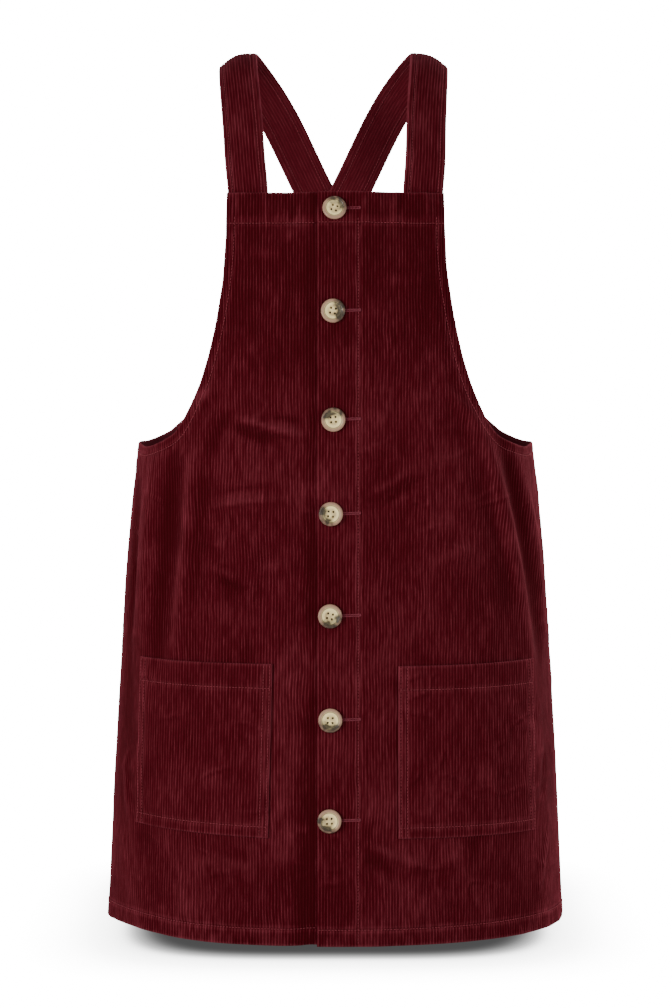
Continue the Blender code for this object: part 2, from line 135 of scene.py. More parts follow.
# ------------------------------------------------------------------ the body form
@dataclass
class BodyForm:
    """The filled-out body of the dress: a superellipse ring at each drop.

    Attributes:
        names: Columns of `rings`.
        rings: One ring a row, in millimetres; a larger `square` gives a flatter front.
        samples: Points on half a ring when its length is walked.
        arc_step: Spacing of the table from walked length to turn, in millimetres.
        drop_step: Spacing of that table's rows.
    """

    names: tuple[str, ...] = ("drop", "half_width", "front", "back", "square")
    rings: tuple[tuple[float, ...], ...] = (
        (60.0, 150.0, 62.0, 82.0, 2.6),
        (126.0, 158.0, 100.0, 99.0, 2.6),
        (190.0, 166.0, 117.0, 106.0, 2.6),
        (270.0, 176.0, 127.0, 109.0, 2.6),
        (360.0, 186.5, 128.0, 111.0, 2.6),
        (415.0, 193.2, 130.0, 114.0, 2.55),
        (473.0, 198.6, 133.0, 118.0, 2.5),
        (577.0, 205.4, 138.0, 126.0, 2.4),
        (681.0, 211.7, 145.0, 136.0, 2.3),
        (814.0, 218.0, 152.0, 148.0, 2.25),
    )
    samples: int = 721
    arc_step: float = 1.0
    drop_step: float = 3.0
    drops: Array = field(init=False, repr=False)
    turn_table: Array = field(init=False, repr=False)
    half_length: Array = field(init=False, repr=False)
    front_side: Array = field(init=False, repr=False)

    def __post_init__(self) -> None:
        """Walk half of every ring once, so that later lookups are whole-array reads."""
        self.drops = np.arange(90.0, 830.0, self.drop_step)
        turns = np.linspace(0.0, math.pi, self.samples)
        arcs = np.arange(0.0, 640.0, self.arc_step)
        self.turn_table = np.empty((len(self.drops), len(arcs)))
        self.half_length = np.empty(len(self.drops))
        self.front_side = np.empty(len(self.drops))
        for row, drop in enumerate(self.drops):
            walked = walked_lengths(self.ring(turns, np.full(self.samples, drop)))
            self.turn_table[row] = np.interp(arcs, walked, turns)
            self.half_length[row] = walked[-1]
            self.front_side[row] = np.interp(math.pi / 2, turns, walked)

    def shape(self, name: str, drop: Array) -> Array:
        """One named column of the rings, read at any drop."""
        index = self.names.index(name)
        rows = np.array(self.rings)
        return smooth(drop, rows[:, 0], rows[:, index])

    def ring(self, turn: Array, drop: Array) -> Array:
        """Point of the ring: r = (|sin/a|^n + |cos/b|^n)^(-1/n) at a turn from centre front."""
        half, power = self.shape("half_width", drop), self.shape("square", drop)
        depth = np.where(np.cos(turn) > 0, self.shape("front", drop), self.shape("back", drop))
        reach = (np.abs(np.sin(turn) / half) ** power
                 + np.abs(np.cos(turn) / depth) ** power) ** (-1.0 / power)
        return np.stack([reach * np.sin(turn), -reach * np.cos(turn), -drop + 0 * reach], axis=-1)

    def side(self, drop: Array, from_back: bool) -> Array:
        """Length round the cloth from the centre line to the side seam."""
        front = np.interp(drop, self.drops, self.front_side)
        return np.interp(drop, self.drops, self.half_length) - front if from_back else front

    def side_drop(self, across: Array, from_back: bool) -> Array:
        """Drop at which the side seam lies `across` from the centre line."""
        low = self.drops > 350.0
        reach = self.side(self.drops[low], from_back)
        return np.interp(across, reach, self.drops[low])

    def turn(self, across: Array, drop: Array, from_back: bool) -> Array:
        """Turn from the centre front, read from the walked lengths by straight interpolation."""
        length = np.abs(across)
        if from_back:
            length = np.interp(drop, self.drops, self.half_length) - length
        row = np.clip((drop - self.drops[0]) / self.drop_step, 0, len(self.drops) - 1.001)
        place = np.clip(length / self.arc_step, 0, self.turn_table.shape[1] - 1.001)
        i, j = row.astype(int), place.astype(int)
        f, g = row - i, place - j
        table = self.turn_table
        value = ((table[i, j] * (1 - g) + table[i, j + 1] * g) * (1 - f)
                 + (table[i + 1, j] * (1 - g) + table[i + 1, j + 1] * g) * f)
        return np.where(across < 0, -value, value)

    def frame_at(self, across: Array, drop: Array, from_back: bool) -> tuple[Array, Array]:
        """Point of the form and its outward unit normal.

        Args:
            across: Length round the cloth from the centre line.
            drop: Length down from the shoulders.
            from_back: Whether the centre line is the back's.

        Returns:
            Points and normals, with one more axis than `across`.
        """
        across, drop = np.broadcast_arrays(np.asarray(across, float), np.asarray(drop, float))
        turn = self.turn(across, drop, from_back)
        around = self.ring(turn + 0.004, drop) - self.ring(turn - 0.004, drop)
        down = self.ring(turn, drop + 1.5) - self.ring(turn, drop - 1.5)
        return self.ring(turn, drop), unit(np.cross(down, around))


# ------------------------------------------------------------------ folds and creases
@dataclass(frozen=True)
class Folds:
    """Soft ridges and troughs that were placed one by one on one side of the dress.

    Attributes:
        long_names: Columns of `long`: upright folds that lean and fade at both ends.
        crease_names: Columns of `creases`: short bowed creases from one place to another.
    """

    long: tuple[tuple[float, ...], ...]
    creases: tuple[tuple[float, ...], ...]
    seed: float
    sharpness: float = 1.9
    long_names: tuple[str, ...] = ("across", "lean", "top", "foot", "width", "height")
    crease_names: tuple[str, ...] = ("across", "drop", "to_across", "to_drop", "bow", "width",
                                     "height")

    def height(self, across: Array, drop: Array) -> Array:
        """Sum of every fold's bell-shaped lift at a place, with a slight wave of the cloth."""
        total = 0.8 * lattice_noise(across / 46.0, drop / 80.0, self.seed)
        total = total + 0.5 * lattice_noise(across / 19.0, drop / 29.0, self.seed + 3.0)
        total = total + 0.2 * lattice_noise(across / 8.5, drop / 13.0, self.seed + 6.0)
        for slant, seed in ((0.35, 8.0), (-0.3, 9.0)):
            fine = lattice_noise((across + slant * drop) / 34.0,
                                 (drop - slant * across) / 15.0, self.seed + seed)
            total = total + 0.75 * bell(fine / 0.16) * ease(lattice_noise(
                across / 37.0, drop / 41.0, self.seed + seed + 4.0) * 1.6)
        for start, lean, top, foot, width, height in self.long:
            along = (drop - top) / (foot - top)
            fade = ease(along * 4.0) * ease((1.0 - along) * 2.0)
            away = (across - start - lean * np.clip(along, 0.0, 1.0)) / width
            total = total + height * fade * bell(away)
        for start, drop_a, end, drop_b, bow, width, height in self.creases:
            run, fall = end - start, drop_b - drop_a
            length = math.hypot(run, fall)
            along = ((across - start) * run + (drop - drop_a) * fall) / length ** 2
            away = ((drop - drop_a) * run - (across - start) * fall) / length
            away = away - bow * 4.0 * along * (1.0 - along)
            spread = width * (0.75 + 0.5 * np.clip(along, 0.0, 1.0))
            fade = ease(along * 2.6) * ease((1.0 - along) * 2.6)
            total = total + self.sharpness * height * fade * bell(away / spread)
        return total

    def hollow(self, across: Array, drop: Array) -> Array:
        """Lowest the folds come within a few millimetres, for the coarser inner face."""
        return np.minimum.reduce([self.height(across + u, drop + v)
                                  for u in (-4.0, 0.0, 4.0) for v in (-6.0, -3.0, 0.0, 3.0, 6.0)])

    def lean(self, across: Array, drop: Array) -> Array:
        """Slope of the folds down and across the cloth, for painted highlight and painted shade on
        their sides.
        """
        down = (self.height(across, drop + 1.5) - self.height(across, drop - 1.5)) / 3.0
        over = (self.height(across + 1.5, drop) - self.height(across - 1.5, drop)) / 3.0
        return down + 0.45 * over


FRONT_FOLDS = Folds(
    long=(
        (-200.0, -12.0, 340.0, 600.0, 7.0, 1.5),
        (-214.0, -10.0, 350.0, 640.0, 6.0, -1.3),
        (218.0, 14.0, 340.0, 620.0, 7.0, 1.5),
        (232.0, 12.0, 350.0, 660.0, 6.0, -1.3),
        (-212.0, -14.0, 430.0, 800.0, 17.0, -2.2),
        (228.0, 10.0, 420.0, 790.0, 16.0, -2.0),
        (60.0, -14.0, 722.0, 860.0, 20.0, 1.6),
        (-44.0, 4.0, 730.0, 860.0, 18.0, -1.6),
        (-23.0, -1.0, 146.0, 340.0, 4.0, -1.1),
        (-23.0, 0.0, 300.0, 640.0, 4.0, -0.8),
        (-25.0, 1.0, 560.0, 940.0, 7.0, -1.7),
        (-42.0, 3.0, 600.0, 900.0, 12.0, 0.9),
        (30.0, 8.0, 690.0, 800.0, 7.0, -1.3),
    ),
    creases=(
        (-132.0, 318.0, -160.0, 580.0, -5.0, 8.0, 1.7),
        (-152.0, 318.0, -180.0, 610.0, -5.0, 12.0, -2.5),
        (-184.0, 352.0, -206.0, 560.0, -3.0, 10.0, 1.6),
        (-204.0, 362.0, -222.0, 530.0, -3.0, 7.0, -1.3),
        (-112.0, 330.0, -146.0, 540.0, -4.0, 11.0, -0.9),
        (118.0, 290.0, 208.0, 590.0, -8.0, 8.0, 2.2),
        (141.0, 298.0, 230.0, 620.0, -8.0, 11.0, -2.8),
        (176.0, 346.0, 252.0, 600.0, -6.0, 7.0, 1.5),
        (98.0, 300.0, 184.0, 560.0, -7.0, 11.0, -0.9),
        (-96.0, 329.0, -20.0, 351.0, 2.5, 3.4, 1.5),
        (-104.0, 336.0, -46.0, 358.0, 3.0, 5.5, -1.5),
        (-62.0, 332.0, -24.0, 340.0, -1.0, 4.0, -0.9),
        (-128.0, 418.0, -30.0, 408.0, -4.0, 3.0, 0.7),
        (-120.0, 405.0, -38.0, 397.0, -3.0, 4.6, -0.7),
        (-118.0, 468.0, -86.0, 487.0, -2.0, 3.6, 1.0),
        (-112.0, 480.0, -80.0, 497.0, -2.0, 5.0, -0.9),
        (-70.0, 470.0, -32.0, 462.0, 2.0, 6.0, 0.6),
        (-106.0, 300.0, -150.0, 352.0, 4.0, 6.0, 1.4),
        (-88.0, 318.0, -118.0, 382.0, 5.0, 7.0, -1.1),
        (24.0, 406.0, 80.0, 372.0, 2.0, 3.8, 0.8),
        (30.0, 415.0, 88.0, 384.0, 2.0, 5.0, -0.7),
        (96.0, 300.0, 140.0, 352.0, -4.0, 6.5, 1.2),
        (80.0, 470.0, 150.0, 452.0, -4.0, 7.0, 0.7),
        (25.0, 560.0, 52.0, 552.0, 1.0, 5.0, 0.7),
        (-28.0, 545.0, -52.0, 556.0, 1.0, 5.0, 0.7),
        (22.0, 716.0, 90.0, 745.0, 4.0, 4.6, 1.3),
        (24.0, 728.0, 78.0, 760.0, 4.0, 6.0, -1.2),
        (232.0, 716.0, 206.0, 786.0, 3.0, 5.0, 1.4),
        (224.0, 640.0, 212.0, 700.0, -3.0, 6.0, -1.0),
        (-228.0, 640.0, -212.0, 720.0, 4.0, 6.0, 1.1),
        (-150.0, 742.0, -60.0, 752.0, -3.0, 7.0, 0.8),
        (-64.0, 120.0, -61.0, 162.0, 1.0, 2.8, 0.8),
        (-37.0, 124.0, -40.0, 164.0, -1.0, 3.4, -0.7),
        (58.0, 118.0, 55.0, 164.0, 1.5, 3.0, 0.8),
        (84.0, 122.0, 86.0, 158.0, -1.0, 3.0, 0.5),
        (27.0, 124.0, 31.0, 168.0, 1.0, 2.6, 0.7),
        (-86.0, 150.0, -80.0, 196.0, 2.0, 3.4, 0.6),
        (-90.0, 190.0, -40.0, 182.0, -2.0, 6.0, 0.6),
        (36.0, 205.0, 92.0, 214.0, 2.0, 6.0, 0.6),
        (-92.0, 243.0, -60.0, 262.0, 2.0, 5.0, -0.5),
    ),
    seed=1.0,
)
BACK_FOLDS = Folds(
    long=(
        (-150.0, -18.0, 345.0, 620.0, 15.0, 3.0),
        (-118.0, -6.0, 400.0, 700.0, 20.0, -2.4),
        (146.0, 20.0, 345.0, 650.0, 14.0, 3.2),
        (110.0, 4.0, 420.0, 690.0, 18.0, -2.2),
        (-30.0, -10.0, 560.0, 850.0, 24.0, 2.6),
        (48.0, 12.0, 600.0, 850.0, 22.0, -2.2),
    ),
    creases=(
        (-110.0, 372.0, -20.0, 392.0, 4.0, 5.0, 1.4),
        (-96.0, 386.0, -12.0, 406.0, 4.0, 6.5, -1.3),
        (118.0, 380.0, 26.0, 402.0, -4.0, 5.5, 1.3),
        (-64.0, 446.0, 54.0, 440.0, 3.0, 6.0, 1.1),
        (-50.0, 458.0, 62.0, 454.0, 3.0, 7.0, -1.0),
        (90.0, 300.0, 44.0, 330.0, 3.0, 6.0, 0.9),
        (-92.0, 305.0, -50.0, 338.0, -3.0, 6.0, 0.9),
        (-190.0, 690.0, -90.0, 712.0, 5.0, 7.0, 1.0),
        (196.0, 655.0, 120.0, 690.0, -4.0, 7.0, 1.1),
        (60.0, 640.0, -40.0, 652.0, -3.0, 8.0, 0.7),
    ),
    seed=7.0,
)


@dataclass(frozen=True)
class ClothFace:
    """One side of the dress as a surface of two lengths, with its folds.

    Attributes:
        form: The body form.
        folds: Folds of this side.
        from_back: Whether lengths are walked from the centre back.
        seam_fade: Width beside the seam where the folds fade out.
    """

    form: BodyForm
    folds: Folds
    from_back: bool
    seam_fade: float = 30.0

    def at(self, across: Array, drop: Array, out: Array) -> Array:
        """Point of the cloth, `out` millimetres outside its folded middle surface.

        The folds fade out over the last `seam_fade` millimetres, so both sides meet at the seam.
        """
        points, normals = self.form.frame_at(across, drop, self.from_back)
        across = np.broadcast_to(across, points.shape[:-1])
        to_seam = self.form.side(drop, self.from_back) - np.abs(across)
        lift = self.folds.height(across, drop) * ease(to_seam / self.seam_fade) + out
        return points + normals * lift[..., None]


# ------------------------------------------------------------------ the cloth itself
@dataclass(frozen=True)
class Wale:
    """Relief of wide-wale corduroy.

    Attributes:
        pitch: Width of one wale.
        height: From the valley to the crest.
        columns: Mesh columns in one wale.
        roundness: Power of the cosine; a larger one makes narrower valleys.
    """

    pitch: float = 2.84
    height: float = 0.52
    columns: int = 5
    roundness: float = 1.6

    def relief(self, grain: Array, along: Array) -> Array:
        """Height of the pile: h (1 - |cos(pi grain / pitch)|^p), a little uneven along a wale."""
        turn = math.pi * grain / self.pitch
        body = 1.0 - np.abs(np.cos(turn)) ** self.roundness
        wale_number = np.floor(grain / self.pitch)
        uneven = 0.86 + 0.14 * lattice_noise(wale_number * 0.73, along / 21.0, 5.0)
        return self.height * body * uneven

    def stations(self, start: float, end: float, edge: Sequence[float] = ()) -> Array:
        """Column places from start to end on whole shares of a wale, with extra edge ones."""
        step = self.pitch / self.columns
        inner = np.arange(math.ceil(start / step), math.floor(end / step) + 1) * step
        margin = max(edge, default=0.2) + 0.1
        inner = inner[(inner > start + margin) & (inner < end - margin)]
        near = np.array([0.0, *edge])
        return np.unique(np.concatenate([start + near, inner, end - near]))


@dataclass
class Relief:
    """What the two faces of a cloth shell do away from the plain folded surface.

    Attributes:
        outer: Lift of the outer face over its half thickness.
        inner: Extra depth of the inner face.
        rub: How far the pile is rubbed pale, plus painted highlight on fold ridges and on fold sides
            that face up, and painted shade in fold troughs, over the bib and beside the placket,
            which takes it below 0; at most 1.
    """

    outer: Array
    inner: Array
    rub: Array


def rounding(distance: Array, radius: float) -> Array:
    """Share of the thickness left near a turned edge: sqrt(1 - (1 - d/r)^2)."""
    near = 1.0 - np.clip(distance / radius, 0.0, 1.0)
    return np.sqrt(np.clip(1.0 - near * near, 0.0, 1.0))


class ShellMesh:
    """A closed shell of an outer grid and a coarser inner grid that share their border."""

    def __init__(self, outer: Array, inner: Array, rows: Array, places: Array) -> None:
        """Number the points of both grids.

        Args:
            outer: Outer points, shaped (rows, columns, 3), in millimetres.
            inner: Inner points at the chosen rows and columns of the outer grid.
            rows: Outer row of each inner row, from the first to the last.
            places: Outer column of each inner column, from the first to the last.
        """
        self.count = outer.shape[:2]
        self.numbers = np.arange(outer.shape[0] * outer.shape[1]).reshape(self.count)
        self.rows, self.places = rows, places
        own = inner[1:-1, 1:-1]
        first = self.numbers.size
        self.inner_numbers = self.numbers[np.ix_(rows, places)].copy()
        self.inner_numbers[1:-1, 1:-1] = first + np.arange(own.shape[0] * own.shape[1]).reshape(
            own.shape[:2])
        self.points = np.concatenate([outer.reshape(-1, 3), own.reshape(-1, 3)])

    def spread(self, outer: Array, inner: Array) -> Array:
        """Join values given on both grids into one value a point."""
        own = inner[1:-1, 1:-1]
        tail = outer.shape[2:]
        return np.concatenate([outer.reshape(-1, *tail), own.reshape(-1, *tail)])

    def outer_faces(self) -> Array:
        """Quads of the outer grid, facing along rows x columns."""
        n = self.numbers
        return np.stack([n[:-1, :-1], n[1:, :-1], n[1:, 1:], n[:-1, 1:]], -1).reshape(-1, 4)

    def inner_faces(self) -> list[list[int]]:
        """Faces of the inner grid, facing the other way, with every border point used."""
        n = self.inner_numbers
        faces = []
        last_row, last_place = n.shape[0] - 2, n.shape[1] - 2
        for i in range(n.shape[0] - 1):
            for j in range(n.shape[1] - 1):
                top = [n[i, j], n[i, j + 1]]
                right = [n[i, j + 1], n[i + 1, j + 1]]
                foot = [n[i + 1, j + 1], n[i + 1, j]]
                left = [n[i + 1, j], n[i, j]]
                span = slice(self.places[j], self.places[j + 1] + 1)
                rise = slice(self.rows[i], self.rows[i + 1] + 1)
                if i == 0:
                    top = self.numbers[0, span].tolist()
                if i == last_row:
                    foot = self.numbers[-1, span][::-1].tolist()
                if j == 0:
                    left = self.numbers[rise, 0][::-1].tolist()
                if j == last_place:
                    right = self.numbers[rise, -1].tolist()
                faces.append([int(v) for v in top[:-1] + right[:-1] + foot[:-1] + left[:-1]])
        return faces

    def build(self, name: str, attributes: dict[str, Array], flat_outer: Array,
              flat_inner: Array) -> bpy.types.Object:
        """Make the object with its attributes and an unfolded bake map.

        Args:
            name: Object name.
            attributes: Values a point, one number or three each.
            flat_outer: Bake map of the outer grid, between 0 and 1.
            flat_inner: Bake map of the inner grid at its own rows and columns.

        Returns:
            The new object.
        """
        outer_faces = self.outer_faces()
        faces = outer_faces.tolist() + self.inner_faces()
        piece = mesh_object(name, self.points, faces, attributes)
        mesh = piece.data
        corner = np.empty(len(mesh.loops), dtype=np.int32)
        mesh.loops.foreach_get("vertex_index", corner)
        flat = np.zeros((len(self.points), 2))
        flat[self.numbers.ravel()] = flat_outer.reshape(-1, 2)
        under = flat.copy()
        under[self.inner_numbers.ravel()] = flat_inner.reshape(-1, 2)
        shift = flat_inner.reshape(-1, 2)[0] - flat_outer.reshape(-1, 2)[0]
        border = np.unique(np.concatenate([self.numbers[0], self.numbers[-1],
                                           self.numbers[:, 0], self.numbers[:, -1]]))
        under[border] = flat[border] + shift
        split = outer_faces.size
        values = np.where((np.arange(len(corner)) < split)[:, None], flat[corner], under[corner])
        layer = mesh.uv_layers.new(name="OFBake")
        layer.data.foreach_set("uv", values.astype(np.float32).ravel())
        return piece


def mesh_object(name: str, points: Array, faces: Sequence, attributes: dict[str, Array]
                ) -> bpy.types.Object:
    """Make a smooth-shaded mesh object at the origin from points in millimetres."""
    mesh = bpy.data.meshes.new(name)
    mesh.from_pydata(np.asarray(points * MM, dtype=np.float32), [], faces)
    for label, values in attributes.items():
        kind = "FLOAT_VECTOR" if values.ndim == 2 else "FLOAT"
        stored = mesh.attributes.new(label, kind, "POINT")
        key = "vector" if values.ndim == 2 else "value"
        stored.data.foreach_set(key, np.asarray(values, dtype=np.float32).ravel())
    mesh.shade_smooth()
    piece = bpy.data.objects.new(name, mesh)
    bpy.context.scene.collection.objects.link(piece)
    return piece


def cloth_attributes(shell: ShellMesh, grain: Array, drop: Array, rub: Array, rows: Array,
                     places: Array, turned: Array | float = 0.0) -> dict[str, Array]:
    """Cut coordinates in metres, rubbing with painted highlight and shade, and side of the cloth,
    one value a point.
    """
    pick = np.ix_(rows, places)
    cut = np.stack([grain, drop, np.zeros_like(grain)], -1) * MM
    inner_cut = cut[pick]
    return {
        "cut": shell.spread(cut, inner_cut),
        "rub": shell.spread(rub, np.zeros_like(rub[pick]) + turned),
        "inside": shell.spread(np.zeros_like(rub), np.ones_like(rub[pick])),
    }


# ------------------------------------------------------------------ topstitching
@dataclass
class Stitching:
    """Lockstitch topstitching gathered into one mesh: each stitch is a short bent capsule.

    Attributes:
        name: Object name.
        slot: Material slot; not used.
        length: Length of the thread that shows in one stitch.
        pitch: From one stitch to the next.
        radius: Half the thread's thickness.
    """

    name: str
    slot: Slot
    length: float = 2.5
    pitch: float = 3.0
    radius: float = 0.24
    sides: int = 5
    points: list[Array] = field(default_factory=list)

    def run(self, route: Array, normals: Array) -> None:
        """Sew along a route.

        Args:
            route: Points on the cloth in millimetres, closer together than a stitch.
            normals: Outward normals at those points.
        """
        walked = walked_lengths(route)
        count = int(walked[-1] / self.pitch)
        if count < 1:
            return
        middle = (np.arange(count) + 0.5) * walked[-1] / count
        middle = middle + 0.12 * np.sin(np.arange(count) * 2.3)

        def read(at: Array) -> Array:
            """Route point at a walked length."""
            return np.stack([np.interp(at, walked, route[:, k]) for k in range(3)], -1)

        start, end = read(middle - self.length / 2), read(middle + self.length / 2)
        self.add(start, end, np.stack([np.interp(middle, walked, normals[:, k])
                                       for k in range(3)], -1))

    def add(self, start: Array, end: Array, normal: Array) -> None:
        """Add stitches from start points to end points, arched along the normals."""
        along = unit(end - start)
        out = unit(normal - along * np.sum(normal * along, -1, keepdims=True))
        side = np.cross(along, out)
        share = np.array([0.0, 0.22, 0.78, 1.0])
        girth = np.array([0.25, 1.0, 1.0, 0.25]) * self.radius
        arch = np.array([-0.9, 0.25, 0.25, -0.9]) * self.radius
        spin = np.arange(self.sides) * 2 * math.pi / self.sides
        centre = (start[:, None] + (end - start)[:, None] * share[None, :, None]
                  + out[:, None] * arch[None, :, None])
        circle = (out[:, None, None] * np.cos(spin)[None, None, :, None]
                  + side[:, None, None] * np.sin(spin)[None, None, :, None])
        ring = centre[:, :, None] + circle * girth[None, :, None, None]
        self.points.append(ring.reshape(-1, 4 * self.sides, 3))

    def build(self, finish: bpy.types.Material) -> None:
        """Join every stitch into one object that rides with the dress."""
        blocks = np.concatenate(self.points)
        here = np.arange(self.sides)
        after = (here + 1) % self.sides
        bands = [np.stack([k * self.sides + here, k * self.sides + after,
                           (k + 1) * self.sides + after, (k + 1) * self.sides + here], -1)
                 for k in range(3)]
        offsets = np.arange(len(blocks)) * 4 * self.sides
        quads = (np.concatenate(bands)[None] + offsets[:, None, None]).reshape(-1, 4)
        first = here[::-1][None] + offsets[:, None]
        last = (here + 3 * self.sides)[None] + offsets[:, None]
        faces = quads[:, ::-1].tolist() + first[:, ::-1].tolist() + last[:, ::-1].tolist()
        piece = mesh_object(self.name, blocks.reshape(-1, 3), faces, {})
        dress(piece, finish)
        LOG.info("%s: %d stitches", self.name, len(blocks))


def dress(piece: bpy.types.Object, finish: bpy.types.Material) -> None:
    """Give a piece its finish and let it ride with the dress."""
    piece.data.materials.clear()
    piece.data.materials.append(finish)
    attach(piece, ROOT)


# ------------------------------------------------------------------ panels of the body
BIB_DROP, BIB_HALF = 126.0, 101.3
BACK_DROP, BACK_HALF = 255.0, 80.0
UNDERARM_DROP, HEM_DROP = 358.5, 814.0
PLACKET_EDGE, PLACKET_INNER, LAYER_EASE = -17.0, 22.0, 57.0
CLOTH, GAP = 2.0, 0.3
PLACKET_STITCH, PLACKET_TOP = 20.5, BIB_DROP + 24.0
TURN_EASE = 1.6        # width over which a turned layer ends
EDGE_RADIUS = 1.25     # rounding of the cloth's own edges
UNDER_SHIFT = np.array([0.5, 0.0])    # the inner face's place on the unfolded map
OUTER_LIFT = CLOTH / 2 - 0.28


def top_layer(across: Array) -> Array:
    """How far the overlapping right front lies outside the form, easing down to 0."""
    return (CLOTH + GAP) * (1.0 - ease((across - PLACKET_INNER) / (LAYER_EASE - PLACKET_INNER)))


def flat_layer(across: Array) -> Array:
    """A panel that lies on the form itself."""
    return 0.0 * across


def distance_to_line(across: Array, drop: Array, line: Array) -> Array:
    """Shortest flat distance to a polyline, segment by segment over whole arrays."""
    best = np.full(across.shape, 1e6)
    for (u, v), (u2, v2) in zip(line[:-1], line[1:]):
        run, fall = u2 - u, v2 - v
        share = np.clip(((across - u) * run + (drop - v) * fall) / (run * run + fall * fall), 0, 1)
        best = np.minimum(best, np.hypot(across - u - share * run, drop - v - share * fall))
    return best


def groove(distance: Array, width: float = 0.9) -> Array:
    """Pull of a row of stitches at this distance from it, from 0 to 1."""
    return bell(distance / width)


def doubled(distance: Array, row: float) -> Array:
    """Share of the turned layer below: 1 inside its row of stitches, 0 beyond it."""
    return ease((row - distance) / TURN_EASE)


def thinned(count: int, first: int, last: int, step: int) -> Array:
    """Grid lines kept for the inner face: all near both ends, every few between.

    Args:
        count: Lines of the outer face.
        first: How many to keep at the start.
        last: How many to keep at the end.
        step: Spacing of those kept between.

    Returns:
        Numbers of the kept lines, ascending.
    """
    return np.array(sorted({*range(first), *range(first, count - last, step),
                            *range(count - last, count)}))


